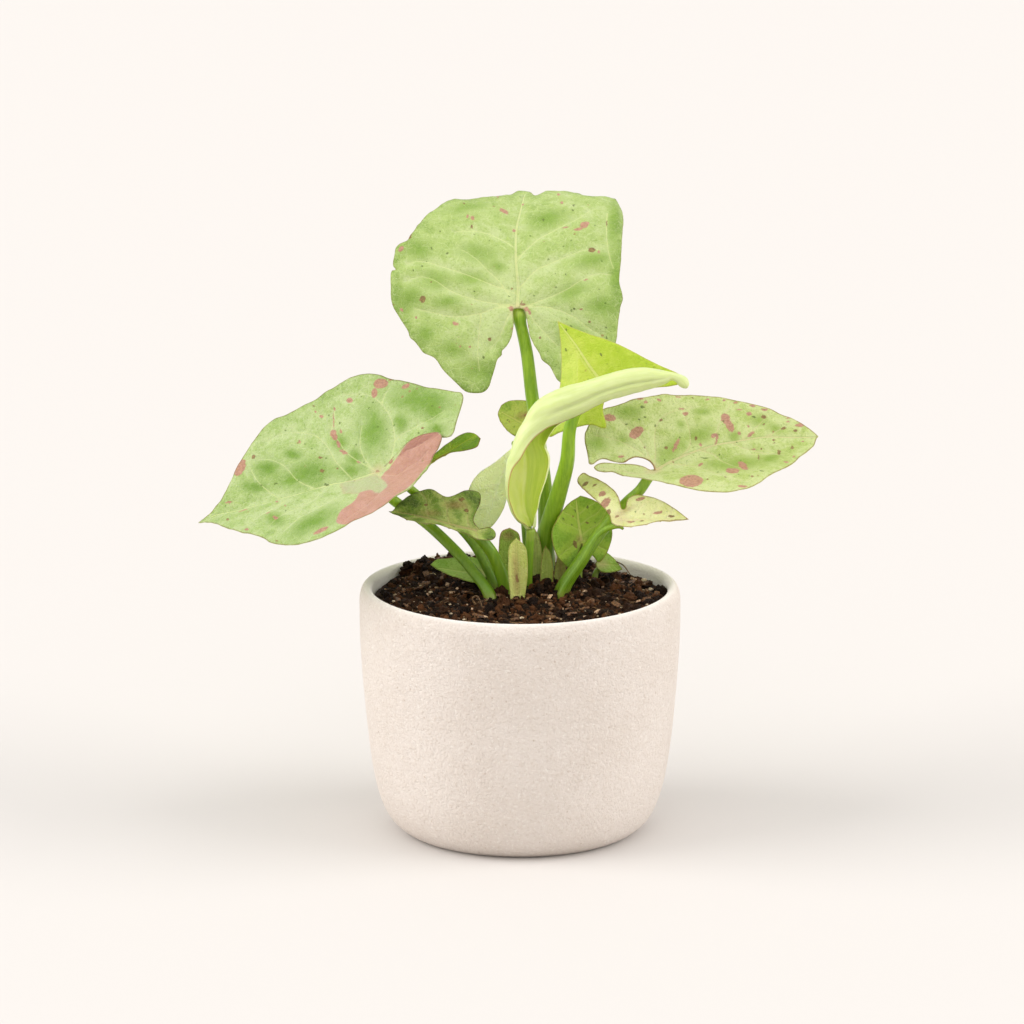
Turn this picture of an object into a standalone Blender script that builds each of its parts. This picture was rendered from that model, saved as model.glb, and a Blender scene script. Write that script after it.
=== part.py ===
"""Potted syngonium: a leafy plant in a round stoneware pot.

Lengths below are millimetres and angles are degrees. The origin is the middle of the
pot's base, +Z is up, and -Y is the side the plant is mostly seen from.
"""
import math

import bpy
import bmesh
import numpy as np
from mathutils import Vector, geometry

MM = 0.001
MERGE = 0.00001

# Pot. Each wall is a list of (radius, height) points.
POT_HEIGHT = 93.7
POT_RADIUS = 60.0
POT_MOUTH_RADIUS = 55.3
POT_CROWN_RADIUS = 57.5
POT_SHOULDER = 87.7
POT_SEGMENTS = 48
POT_OUTSIDE = [(0, 0), (25, 0), (41.2, 0), (42.9, 0.25), (45.1, 1.5), (49, 5), (51.7, 10),
               (53.7, 16), (55.2, 23), (56.4, 31), (57.4, 40), (58.3, 50), (59.1, 60),
               (59.8, 72), (60.05, 81)]
POT_INSIDE = [(55.2, 84), (55, 74), (54.4, 60), (53.2, 46), (51.2, 28), (48.2, 14),
              (44.5, 9.2), (38, 7), (0, 7)]

# Soil. Each heap is (x, y, rise, spread).
SOIL_LEVEL = 88.3
SOIL_GAP = 0.3
SOIL_RINGS = 9
SOIL_HEAPS = [(4, 14, 5.0, 20), (-27, 37, 4.5, 13), (8, 6.5, 1.2, 5)]
SOIL_EDGE = 6.0
STEM_DEPTH = 12.0
HOLE_REACH = 9.0
HOLE_GAP = 0.6

# Blades and stems
BLADE_THICKNESS = 0.8
CREASE_WIDTH = 1.5
STEM_GAP = 0.35
STEM_STEP = 7.0

MATERIALS = {
    "cream stoneware": (0.76, 0.70, 0.62, 0.85),
    "potting soil": (0.045, 0.028, 0.018, 0.95),
    "pale green leaf": (0.42, 0.62, 0.22, 0.55),
    "yellow green leaf": (0.50, 0.68, 0.14, 0.5),
    "dark green leaf": (0.16, 0.34, 0.07, 0.5),
    "pink splashed leaf": (0.62, 0.66, 0.30, 0.5),
    "green stem": (0.20, 0.42, 0.05, 0.5),
    "pale sheath": (0.60, 0.66, 0.38, 0.6),
}

# One entry for each leaf and sheath. "at" is where the stem meets the blade, or where a
# sheath's foot stands, whose height is then measured from the soil. Heading, pitch and
# roll turn the flat leaf, whose x runs to the tip and whose y runs to its left side.
# "right" runs from the notch to the tip and "left" from the tip back to the notch.
# Arch bends the midrib down, lobe lifts the part behind the stem, fold and curl raise
# the (left, right) halves, and back adds fold behind the stem. Crease is where a line
# starts on the midrib, how it leans, and how far the left half turns down beyond it.
LEAVES = {
    "top_leaf": dict(
        material="pale green leaf", step=6.2, edge=4.2,
        at=(-0.5, 30, 192), heading=92, pitch=66, roll=0,
        length=80, width=46, arch=74, lobe=18, fold=(4, 4), curl=(-8, -16),
        right=[(-1.5, 0), (-6, -4), (-14.5, -7.5), (-22.5, -12), (-28.5, -20.5), (-26, -29.5),
               (-12.5, -36), (4, -38.5), (17, -38.5), (31, -40.5), (46, -41.5), (60, -41.5),
               (67, -37), (66, -28), (69.5, -17.5), (73, -8), (77, -2)],
        left=[(77, -2), (66, 8), (57.5, 22.5), (42, 36), (29, 44), (18, 47), (4, 47.5),
              (-8.5, 41), (-19, 31.5), (-30.5, 20.5), (-31.5, 15.5), (-26.5, 10.5),
              (-18.5, 8), (-10, 3.5), (-5, 3), (-1.5, 0)]),
    "left_leaf": dict(
        material="pale green leaf", step=6.2, edge=4.2,
        at=(-53, 0, 136.5), heading=164, pitch=-16, roll=-30,
        length=76, width=44, arch=4, lobe=6, fold=(17, 19), curl=(-8, -10),
        right=[(-3, -1.5), (-8.5, -6), (-16.5, -10.5), (-23.5, -11.5), (-28, -8),
               (-31.5, -15.5), (-33.5, -23.5), (-30, -29.5), (-15.5, -37), (-3, -43.5),
               (8, -48), (22, -44), (34.5, -39), (45, -36), (55.5, -25), (61.5, -12),
               (68, -3), (75, 2)],
        left=[(75, 2), (65, 9.5), (53, 21.5), (39, 33), (31, 42), (21, 45), (15, 44),
              (7, 38.5), (-3, 34.5), (-11, 28.5), (-17.5, 22), (-21, 11), (-23.5, 1),
              (-25.5, -6), (-23, -9.5), (-16.5, -9), (-8, -4.8), (-3, -1.5)]),
    "right_leaf": dict(
        material="pale green leaf", step=5.4, edge=3.6,
        at=(49.5, 2, 136.5), heading=18, pitch=6, roll=28,
        length=68, width=33, arch=2, lobe=4, fold=(20, 22), curl=(-6, -8), back=(0, 30),
        right=[(-1, 2), (-4.5, 1), (-11.5, 3), (-18, 5.5), (-21, 4.5), (-19.5, 2),
               (-11.5, -5), (-5.5, -11.5), (0.5, -17.5), (7, -24.5), (14, -29.5), (26.5, -29.5),
               (39, -23.5), (53.5, -13), (67.5, 3)],
        left=[(67.5, 3), (59.5, 13.5), (51.5, 19.5), (37, 26.5), (26, 30), (14, 32),
              (4, 32), (-9, 30.5), (-19, 22.5), (-22.5, 15.5), (-22.5, 9), (-16.5, 7.5),
              (-8, 6), (-3, 4.5), (-1, 2)]),
    "yellow_leaf": dict(
        material="yellow green leaf", step=4.4, edge=3.0,
        at=(31.5, 10, 167), heading=153, pitch=49, roll=-72,
        length=30, width=29, arch=6, lobe=6, fold=(9, 10), curl=(0, -6),
        crease=(17, 0.75, 24),
        right=[(-2.5, 0.5), (-6, -4.5), (-11, -13), (-16.5, -22.5), (-17, -25.5),
               (-15, -26), (-5.5, -21), (9.5, -13.5), (22, -5), (30.5, 0)],
        left=[(30.5, 0), (23, 4.5), (10, 15), (5, 23.5), (2, 28), (0, 29.5), (-2.5, 29),
              (-3.5, 25), (-6.5, 17), (-9, 12.5), (-13, 9), (-6.5, 5.5), (-2.5, 0.5)]),
    "drooping_leaf": dict(
        material="yellow green leaf", step=4.2, edge=3.0,
        at=(-3, 12, 143), heading=180, pitch=-70, roll=80,
        length=35, width=11, arch=6, lobe=0, fold=(6, 6), curl=(-20, -20),
        right=[(0, 0), (3, -1), (8.5, -2.5), (15.5, -4), (22, -5), (29.5, -3.5), (34.5, 0)],
        left=[(34.5, 0), (32.5, 5), (25.5, 9), (19.5, 10.5), (13.5, 9), (7.5, 4.5),
              (2.5, 1.5), (0, 0)]),
    "dark_leaf": dict(
        material="dark green leaf", step=3.8, edge=2.6,
        at=(-16.5, -9, 116), heading=162, pitch=14, roll=-26,
        length=34, width=12, arch=12, lobe=10, fold=(22, 24), curl=(-10, -10),
        right=[(-1, -1), (2.5, -4), (3, -12), (5, -16), (10, -15), (15.5, -10.5), (23, -12),
               (28, -9.5), (31.5, -4), (32.5, 2)],
        left=[(32.5, 2), (29, 6), (21.5, 6.5), (14.5, 6), (8, 5), (2.5, 5), (-3.5, 7),
              (-7.5, 4.5), (-7.5, -1.5), (-4.5, -3), (-1, -1)]),
    "folded_leaf": dict(
        material="pink splashed leaf", step=3.0, edge=2.2,
        at=(37, -9, 120), heading=-2, pitch=2, roll=0,
        length=26, width=9, arch=4, lobe=90, fold=(50, -20), curl=(-6, -6), back=(0, -30),
        right=[(-8, 25), (-8.5, 23), (-7.5, 15.5), (-5, 7), (-3.5, 2.5), (-3, -1.5),
               (0.5, -4), (9.5, -3), (15, -1), (21, 0), (25.5, 0.5)],
        left=[(25.5, 0.5), (20, 5), (14.5, 8.5), (9, 10.5), (5.5, 11), (3, 9), (2, 5),
              (1, 4.5), (-0.5, 11), (-3, 17), (-6, 23.5), (-7, 26), (-8, 25)]),
    "round_leaf": dict(
        material="dark green leaf", step=3.6, edge=2.6,
        at=(23, 7, 109), heading=112, pitch=78, roll=0,
        length=17, width=12, arch=20, lobe=10, fold=(12, 12), curl=(0, 0),
        right=[(-1.5, 0), (-4.5, -1), (-6.5, -4), (-9, -6), (-7, -8.5), (-1, -11.5),
               (3.5, -12), (10.5, -10.5), (14, -7), (16.5, -2)],
        left=[(16.5, -2), (14, 3.5), (9, 9), (3, 13), (-3, 12.5), (-7.5, 9.5), (-10.5, 5.5),
              (-6, 2.5), (-1.5, 0)]),
    "back_leaf": dict(
        material="dark green leaf", step=3.6, edge=2.8,
        at=(4.5, 44, 144.5), heading=150, pitch=22, roll=-40,
        length=15, width=8, arch=10, lobe=10, fold=(6, 6), curl=(0, 0),
        right=[(0, 0), (-1.5, -3.5), (2, -8), (7, -9), (11, -8), (15, -5.5), (16.5, -2.5)],
        left=[(16.5, -2.5), (15.5, 1), (13, 3.5), (8, 6), (3, 7), (-2, 5.5), (0, 0)]),
    "young_leaf": dict(
        material="dark green leaf", step=3.6, edge=2.8,
        at=(-43.5, 8, 131.5), heading=22, pitch=30, roll=20,
        length=33, width=6, arch=6, lobe=0, fold=(6, 6), curl=(-10, -10),
        right=[(-0.5, 0), (2, -2), (8, -2), (14, -0.5), (20, -1), (24.5, -4.5),
               (29.5, -6.5), (33, -3.5)],
        left=[(33, -3.5), (33, 1), (30.5, 4), (22, 4), (13, 2), (6.5, 1.5), (1.5, 1.5),
              (-0.5, 0)]),
    "low_left_leaf": dict(
        material="dark green leaf", step=3.8, edge=2.8,
        at=(-14.5, 6, 96), heading=166, pitch=6, roll=-34,
        length=20, width=6, arch=6, lobe=0, fold=(6, 6), curl=(0, 0),
        right=[(-2.5, 0.5), (-1, -4.5), (3.5, -7), (8.5, -7), (15, -5), (18.5, -4),
               (20.5, -1.5)],
        left=[(20.5, -1.5), (13.5, 2.5), (7.5, 4), (0.5, 5), (-2.5, 0.5)]),
    "low_right_leaf": dict(
        material="dark green leaf", step=3.0, edge=2.4,
        at=(30.5, 18, 97), heading=10, pitch=-4, roll=34,
        length=9, width=5, arch=4, lobe=0, fold=(6, 6), curl=(0, 0),
        right=[(-1, 0), (0, -4), (3.5, -4), (8, -1)],
        left=[(8, -1), (5, 4.5), (2.5, 5.5), (0.5, 3), (-1, 0)]),
    "front_sheath": dict(
        material="pale sheath", step=2.6, edge=2.2,
        on_soil=True, at=(-1, -13, 0.0), heading=92, pitch=86, roll=10,
        length=23, width=4, arch=8, lobe=0, fold=(14, 14), curl=(20, 20),
        right=[(0, 0), (3, -1.5), (9, -3.5), (15, -4), (20, -3.5), (23, 0)],
        left=[(23, 0), (20, 3.5), (15, 4), (9, 3.5), (3, 1.5), (0, 0)]),
    "green_sheath": dict(
        material="dark green leaf", step=2.8, edge=2.4,
        on_soil=True, at=(-4, 4.5, 0.8), heading=90, pitch=88, roll=-6,
        length=20, width=4.4, arch=6, lobe=0, fold=(8, 8), curl=(12, 12),
        right=[(0, 0), (3, -1.5), (10, -3.5), (15, -4.5), (18.5, -3.5), (20.5, 0)],
        left=[(20.5, 0), (19, 3), (15, 4), (10, 3), (3, 1.5), (0, 0)]),
    "wing_sheath": dict(
        material="pale sheath", step=2.6, edge=2.2,
        on_soil=True, at=(6, 5.5, 0.3), heading=96, pitch=86, roll=16,
        length=19, width=2.2, arch=4, lobe=0, fold=(10, 10), curl=(20, 20),
        right=[(0, 0), (4, -2), (10, -2.5), (15, -2), (18.5, 0)],
        left=[(18.5, 0), (15, 2), (10, 2.5), (4, 2), (0, 0)]),
    "outer_sheath": dict(
        material="pale sheath", step=2.6, edge=2.2,
        on_soil=True, at=(10, 2, 0.9), heading=90, pitch=84, roll=8,
        length=14, width=2.4, arch=4, lobe=0, fold=(10, 10), curl=(16, 16),
        right=[(0, 0), (3, -2), (7, -2.5), (11, -2), (13.5, 0)],
        left=[(13.5, 0), (11, 2), (7, 2.5), (3, 2), (0, 0)]),
    "inner_sheath": dict(
        material="pale sheath", step=2.6, edge=2.2,
        on_soil=True, at=(15, 6.5, 0.4), heading=70, pitch=80, roll=0,
        length=12, width=2.2, arch=4, lobe=0, fold=(10, 10), curl=(16, 16),
        right=[(0, 0), (3, -1.5), (6.5, -2), (9.5, -2), (12, 0)],
        left=[(12, 0), (9.5, 2), (6.5, 2), (3, 1.5), (0, 0)]),
}

# One entry for each stem: its points down to the soil, and its radius at the top and at
# the soil. A stem that names a leaf starts just under that leaf's "at", and its gap
# allows for how its end slants against the blade.
STEMS = {
    "top_leaf_stem": dict(leaf="top_leaf", gap=0.5, radius=(2.1, 3.0), points=[
        (2.5, 29.5, 176.5), (4.5, 27, 160.5), (7, 25, 143.5), (9.5, 23.5, 122.5),
        (10, 22.5, 97)]),
    "left_leaf_stem": dict(leaf="left_leaf", gap=0.35, radius=(1.9, 2.1), points=[
        (-48.5, 6, 125.5), (-42, 8, 120), (-35.5, 7, 115.5), (-27, 3, 108.5),
        (-19, -3, 101), (-11, -11, 91)]),
    "right_leaf_stem": dict(leaf="right_leaf", gap=-0.4, radius=(1.9, 2.7), points=[
        (44.5, 3, 128.5), (40, 4, 124), (30, 1.5, 113), (23, -1, 103), (15.5, -3, 91)]),
    "yellow_leaf_stem": dict(radius=(1.7, 3.4), points=[
        (30.5, 8, 166.5), (26, 4.5, 163), (21, 3, 159), (18.5, 3, 152), (17.5, 4.5, 139.5),
        (14.5, 7.5, 127), (12, 9.5, 118), (9.5, 11.5, 108), (8.5, 12.5, 95)]),
    "rolled_leaf_stem": dict(radius=(1.5, 1.9), points=[
        (4, -4, 115.5), (3.5, -3.5, 108.5), (3, -3, 99.5), (2.5, -2.5, 91.5)]),
    "drooping_leaf_stem": dict(radius=(1.0, 1.3), points=[
        (-2.5, 13, 144.5), (-0.5, 15, 143.5), (0.5, 16.5, 130.5), (2.5, 18, 118),
        (3.5, 19, 106), (4, 20.5, 96)]),
    "dark_leaf_stem": dict(leaf="dark_leaf", gap=0.05, radius=(2.0, 2.6), points=[
        (-12, -8, 109.5), (-8, -7.5, 102), (-5, -6.5, 91.5)]),
    "folded_leaf_stem": dict(leaf="folded_leaf", gap=0.65, radius=(1.0, 1.2), points=[
        (30, -7.5, 115), (23, -8.5, 104.5), (15, -9.5, 91.5)]),
    "round_leaf_stem": dict(leaf="round_leaf", gap=0.45, radius=(1.0, 1.3), points=[
        (22.5, 9.5, 101), (22, 9, 94)]),
    "back_leaf_stem": dict(leaf="back_leaf", radius=(1.0, 1.3), points=[
        (2.5, 40.5, 129), (1.5, 36, 116), (2, 32.5, 105), (3, 31, 95)]),
    "young_leaf_stem": dict(leaf="young_leaf", radius=(1.6, 1.9), points=[
        (-37.5, 11, 124.5), (-27.5, 9, 118), (-17.5, 5, 108), (-13, 2, 100.5),
        (-9, 0, 92)]),
    "low_left_leaf_stem": dict(leaf="low_left_leaf", radius=(1.0, 1.2), points=[
        (-12, 7, 92)]),
    "low_right_leaf_stem": dict(leaf="low_right_leaf", radius=(1.0, 1.2), points=[
        (28.5, 17, 93)]),
}

# The newest leaf, still rolled, in sections from its foot to its tip. Each is the middle
# (x, y, z), half its size across and front to back, and the angles where the sheet
# starts at the front and ends behind. Angle 0 is its upper side and 90 faces the front.
ROLLED_SECTIONS = [
    (4, -4, 116, 2, 2, 80, -258),
    (3.5, -4.5, 118.5, 3.5, 2.5, 54, -230),
    (3, -6, 124, 6, 4, 26, -206),
    (2, -7.5, 130, 8, 5, 20, -202),
    (2, -9, 136.5, 8.5, 5.5, 24, -202),
    (3, -10, 143, 7.5, 5, 38, -200),
    (4, -10.5, 149, 6, 5, 64, -196),
    (6.5, -10.5, 155.5, 5.5, 4.5, 108, -186),
    (11.5, -10.5, 161.5, 6, 4.5, 148, -172),
    (20.5, -10.5, 165.5, 6, 4.5, 164, -166),
    (29.5, -10.5, 169.5, 5, 4, 168, -166),
    (38, -10.5, 172, 5, 4, 170, -168),
    (46.5, -10, 173.5, 4.5, 3.5, 170, -168),
    (53, -10, 174, 3.5, 3, 170, -168),
    (57.5, -10, 173, 2.5, 2.5, 168, -168),
    (60, -9.5, 170, 1, 1, 166, -166),
]
ROLLED_THICKNESS = 0.7
ROLLED_LENGTHWISE = 26
ROLLED_AROUND = 13


def clear_scene():
    for thing in list(bpy.data.objects):
        bpy.data.objects.remove(thing)


def make_material(name):
    red, green, blue, rough = MATERIALS[name]
    material = bpy.data.materials.new(name)
    material.use_nodes = True
    shader = material.node_tree.nodes["Principled BSDF"]
    shader.inputs["Base Color"].default_value = (red, green, blue, 1)
    shader.inputs["Roughness"].default_value = rough
    return material


def make_object(name, data, material, collection):
    if material:
        data.materials.append(material)
    thing = bpy.data.objects.new(name, data)
    collection.objects.link(thing)
    return thing


def make_mesh(name, points, edges, faces):
    mesh = bpy.data.meshes.new(name)
    mesh.from_pydata([tuple(MM * value for value in point) for point in points], edges, faces)
    mesh.update()
    return mesh


def thicken(thing, thickness):
    solid = thing.modifiers.new("Thickness", "SOLIDIFY")
    solid.thickness = thickness * MM
    solid.offset = -1


def as_mesh(thing, name):
    """The thing as the viewport shows it, as one welded mesh. The thing is removed."""
    seen = thing.evaluated_get(bpy.context.evaluated_depsgraph_get())
    mesh = bpy.data.meshes.new_from_object(seen)
    mesh.name = name
    shape = bmesh.new()
    shape.from_mesh(mesh)
    bmesh.ops.remove_doubles(shape, verts=shape.verts, dist=MERGE)
    bmesh.ops.triangulate(shape, faces=shape.faces)
    bmesh.ops.recalc_face_normals(shape, faces=shape.faces)
    shape.to_mesh(mesh)
    shape.free()
    bpy.data.objects.remove(thing)
    return mesh


def turned(name, profile, material, collection):
    """A solid turned about Z from its profile, which runs down its outer side."""
    points = [(radius, 0, height) for radius, height in profile]
    edges = [(k, k + 1) for k in range(len(points) - 1)]
    thing = make_object(name, make_mesh(name, points, edges, []), material, collection)
    turn = thing.modifiers.new("Turn", "SCREW")
    turn.axis = "Z"
    turn.steps = POT_SEGMENTS
    turn.render_steps = POT_SEGMENTS
    turn.use_merge_vertices = True
    turn.merge_threshold = MERGE
    turn.use_smooth_shade = True
    return thing


def make_pot(material, collection):
    rim = []
    for angle in np.radians((90, 45)):
        rim.append((POT_CROWN_RADIUS - (POT_CROWN_RADIUS - POT_MOUTH_RADIUS) * math.sin(angle),
                    POT_HEIGHT - 2.2 * (1 - math.cos(angle))))
    for angle in np.radians((90, 72, 50, 25, 0)):
        rim.append((POT_CROWN_RADIUS + (POT_RADIUS - POT_CROWN_RADIUS) * math.cos(angle),
                    POT_SHOULDER + (POT_HEIGHT - POT_SHOULDER) * math.sin(angle)))
    turned("pot", POT_INSIDE[::-1] + rim + POT_OUTSIDE[::-1], material, collection)


def soil_height(x, y):
    """Height of the soil's uneven top, which lies level near the pot's wall."""
    height = SOIL_LEVEL
    for at_x, at_y, rise, spread in SOIL_HEAPS:
        height += rise * math.exp(-((x - at_x) ** 2 + (y - at_y) ** 2) / (2 * spread ** 2))
    lumps = (0.5 * math.sin(0.42 * x + 0.7) * math.sin(0.38 * y + 1.3)
             + 0.35 * math.sin(0.71 * x - 0.55 * y) + 0.25 * math.sin(0.9 * y + 0.3 * x + 2))
    edge = POT_MOUTH_RADIUS - SOIL_GAP
    return height + lumps * min(1, max(0, (edge - math.hypot(x, y)) / SOIL_EDGE))


def make_soil(material, collection):
    wall = [(radius - SOIL_GAP if radius else 0, height + SOIL_GAP)
            for radius, height in POT_INSIDE if height < 80]
    edge = wall[0][0] + 0.2
    top = [(edge * k / SOIL_RINGS, SOIL_LEVEL) for k in range(SOIL_RINGS + 1)]
    mesh = as_mesh(turned("soil", top + wall, material, collection), "soil")
    for vertex in mesh.vertices:
        if vertex.co.z > (SOIL_LEVEL - 1) * MM:
            vertex.co.z = MM * soil_height(vertex.co.x / MM, vertex.co.y / MM)
    soil = bpy.data.objects.new("soil", mesh)
    collection.objects.link(soil)
    mesh.shade_smooth()
    return soil


def smooth_line(points, step):
    """Points about one step apart along a smooth curve through the given points."""
    p = np.asarray(points, float)
    p = np.vstack([2 * p[0] - p[1], p, 2 * p[-1] - p[-2]])
    gaps = np.sqrt(np.linalg.norm(np.diff(p, axis=0), axis=1))
    knots = np.concatenate([[0], np.cumsum(gaps)])
    dense = []
    for k in range(1, len(p) - 2):
        t0, t1, t2, t3 = knots[k - 1:k + 3]
        p0, p1, p2, p3 = p[k - 1:k + 3]
        for t in np.linspace(t1, t2, 12, endpoint=k == len(p) - 3):
            a1 = (t1 - t) / (t1 - t0) * p0 + (t - t0) / (t1 - t0) * p1
            a2 = (t2 - t) / (t2 - t1) * p1 + (t - t1) / (t2 - t1) * p2
            a3 = (t3 - t) / (t3 - t2) * p2 + (t - t2) / (t3 - t2) * p3
            b1 = (t2 - t) / (t2 - t0) * a1 + (t - t0) / (t2 - t0) * a2
            b2 = (t3 - t) / (t3 - t1) * a2 + (t - t1) / (t3 - t1) * a3
            dense.append((t2 - t) / (t2 - t1) * b1 + (t - t1) / (t2 - t1) * b2)
    dense = np.array(dense)
    lengths = np.linalg.norm(np.diff(dense[:, :3], axis=0), axis=1)
    along = np.concatenate([[0], np.cumsum(lengths)])
    want = np.linspace(0, along[-1], max(2, round(along[-1] / step) + 1))
    return np.stack([np.interp(want, along, column) for column in dense.T], 1)


def inside(points, loop):
    """Whether each flat point lies inside the closed loop."""
    x, y = points[:, 0:1], points[:, 1:2]
    x0, y0 = loop.T
    x1, y1 = np.roll(loop, -1, 0).T
    rise = np.where(np.abs(y1 - y0) < 1e-9, 1e-9, y1 - y0)
    crosses = ((y0 > y) != (y1 > y)) & (x < (x1 - x0) * (y - y0) / rise + x0)
    return crosses.sum(1) % 2 == 1


def margin_distance(points, loop):
    """Distance of each flat point from the closed loop."""
    span = np.roll(loop, -1, 0) - loop
    along = ((points[:, None] - loop) * span).sum(2) / (span ** 2).sum(1)
    near = loop + np.clip(along, 0, 1)[..., None] * span
    return np.linalg.norm(points[:, None] - near, axis=2).min(1)


def flat_leaf(leaf):
    """Flat points and triangles that fill the outline, with a row along the midrib."""
    right, left = (smooth_line(leaf[side], leaf["edge"]) for side in ("right", "left"))
    loop = np.vstack([right[:-1], left[:-1]])
    step = leaf["step"]
    low, high = loop.min(0), loop.max(0)
    grid = []
    for row, x in enumerate(np.arange(low[0], high[0], step * 0.866)):
        for y in np.arange(low[1] + (row % 2) * step / 2, high[1], step):
            grid.append((x, y))
    grid = np.array(grid)
    grid = grid[np.abs(grid[:, 1]) > 0.6 * step]
    midrib = np.arange(low[0], high[0], step)
    grid = np.vstack([np.stack([midrib, 0 * midrib], 1), grid])
    grid = grid[inside(grid, loop)]
    grid = grid[margin_distance(grid, loop) > 0.55 * step]
    points = [Vector(point) for point in np.vstack([loop, grid])]
    edges = [(k, (k + 1) % len(loop)) for k in range(len(loop))]
    flat, _, faces, *_ = geometry.delaunay_2d_cdt(points, edges, [], 1, 1e-6)
    return np.array([tuple(point) for point in flat]), faces


def bend_leaf(flat, leaf):
    """Carry flat leaf points to the bent blade, in the leaf's own axes."""
    x, y = flat.T
    length, width = leaf["length"], leaf["width"]
    steps = (np.arange(24) + 0.5) / 24

    def midrib_angle(at):
        behind, ahead = np.clip(-at / length, 0, None), np.clip(at / length, 0, None)
        return np.radians(leaf["lobe"] * behind - leaf["arch"] * ahead)

    angles = midrib_angle(x[:, None] * steps)
    along = x * np.cos(angles).mean(1)
    lift = x * np.sin(angles).mean(1)
    side = np.where(y >= 0, 0, 1)
    fold = np.array(leaf["fold"])[side]
    if "back" in leaf:
        fold = fold + np.array(leaf["back"])[side] * np.clip(-x / length, 0, None)
    reach = np.abs(y)[:, None] * steps
    slope = fold[:, None] + np.array(leaf["curl"])[side][:, None] * reach / width
    if "crease" in leaf:
        start, lean, drop = leaf["crease"]
        line = np.clip(lean * (start - x), 0, None)[:, None]
        past = np.clip((reach - line) / CREASE_WIDTH + 0.5, 0, 1)
        slope = slope - np.where(y > 0, drop, 0)[:, None] * past
    slope = np.radians(slope)
    across = y * np.cos(slope).mean(1)
    height = np.abs(y) * np.sin(slope).mean(1)
    turn = midrib_angle(x)
    return np.stack([along - np.sin(turn) * height, across, lift + np.cos(turn) * height], 1)


def leaf_axes(leaf):
    """The leaf's forward, left and upper directions as columns."""
    heading, pitch, roll = (math.radians(leaf[key]) for key in ("heading", "pitch", "roll"))
    forward = np.array([math.cos(heading) * math.cos(pitch),
                        math.sin(heading) * math.cos(pitch), math.sin(pitch)])
    left = np.array([-math.sin(heading), math.cos(heading), 0])
    left = left * math.cos(roll) + np.cross(forward, left) * math.sin(roll)
    return np.stack([forward, left, np.cross(forward, left)], 1)


def make_leaf(name, leaf, material, collection):
    flat, faces = flat_leaf(leaf)
    at = np.array(leaf["at"], float)
    if "on_soil" in leaf:
        at[2] += soil_height(at[0], at[1])
    points = at + bend_leaf(flat, leaf) @ leaf_axes(leaf).T
    thing = make_object(name, make_mesh(name, points, [], faces), material, collection)
    thing.data.shade_smooth()
    thicken(thing, BLADE_THICKNESS)


def stem_top(stem, below):
    """Where the stem ends, clear of the under side of its blade."""
    leaf = LEAVES[stem["leaf"]]
    at, upper = np.array(leaf["at"]), leaf_axes(leaf)[:, 2]
    along = (at - below) / np.linalg.norm(at - below)
    slant = math.sqrt(max(0, 1 - along.dot(upper) ** 2))
    clear = BLADE_THICKNESS + stem.get("gap", STEM_GAP) + stem["radius"][0] * slant
    return at - upper * clear


def stem_rings(stem):
    """Middles and radii down the stem, which runs straight down inside the soil."""
    points = [np.array(point, float) for point in stem["points"]]
    if "leaf" in stem:
        points.insert(0, stem_top(stem, points[0]))
    foot = points[-1]
    for depth in (STEM_DEPTH * 0.45, STEM_DEPTH):
        points.append(foot - (0, 0, depth))
    path = smooth_line(points, STEM_STEP)
    top, low = stem["radius"]
    radii = top + (low - top) * np.clip(np.linspace(0, 1.15, len(path)), 0, 1)
    return path, radii, foot[2]


def make_rod(name, path, radii, material, collection):
    curve = bpy.data.curves.new(name, "CURVE")
    curve.dimensions = "3D"
    curve.bevel_depth = MM
    curve.bevel_resolution = 2
    curve.use_fill_caps = True
    spline = curve.splines.new("POLY")
    spline.points.add(len(path) - 1)
    for point, middle, radius in zip(spline.points, path, radii):
        point.co = (*(MM * middle), 1)
        point.radius = radius
    spline.use_smooth = True
    return make_object(name, curve, material, collection)


def cut_hole(soil, name, stem, collection):
    """Cut a hole for the stem's foot, a little wider and deeper than the stem."""
    path, radii, foot = stem_rings(stem)
    keep = path[:, 2] < foot + HOLE_REACH
    path = path[keep]
    path[-1, 2] -= HOLE_GAP
    rod = make_rod(name, path, radii[keep] + HOLE_GAP, None, collection)
    cutter = bpy.data.objects.new(name, as_mesh(rod, name))
    collection.objects.link(cutter)
    cutter.hide_render = True
    cutter.display_type = "WIRE"
    hole = soil.modifiers.new("Hole", "BOOLEAN")
    hole.operation = "DIFFERENCE"
    hole.solver = "EXACT"
    hole.object = cutter


def make_rolled_leaf(material, collection):
    """Loft an open sheet through the sections and thicken it."""
    rows = smooth_line(ROLLED_SECTIONS, 1.0)
    pick = np.linspace(0, len(rows) - 1, ROLLED_LENGTHWISE)
    rows = np.stack([np.interp(pick, np.arange(len(rows)), column) for column in rows.T], 1)
    ahead = np.gradient(rows[:, :3], axis=0)
    points, faces = [], []
    for row, along in zip(rows, ahead):
        side = np.cross((0, -1, 0), along)
        side /= np.linalg.norm(side)
        front = np.cross(along, side)
        front /= np.linalg.norm(front)
        for angle in np.radians(np.linspace(row[5], row[6], ROLLED_AROUND)):
            points.append(row[:3] + row[3] * math.cos(angle) * side
                          + row[4] * math.sin(angle) * front)
    for ring in range(ROLLED_LENGTHWISE - 1):
        for k in range(ROLLED_AROUND - 1):
            a = ring * ROLLED_AROUND + k
            b = a + ROLLED_AROUND
            faces.append((a, a + 1, b + 1))
            faces.append((a, b + 1, b))
    mesh = make_mesh("rolled_leaf", points, [], faces)
    thing = make_object("rolled_leaf", mesh, material, collection)
    mesh.shade_smooth()
    thicken(thing, ROLLED_THICKNESS)


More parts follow.
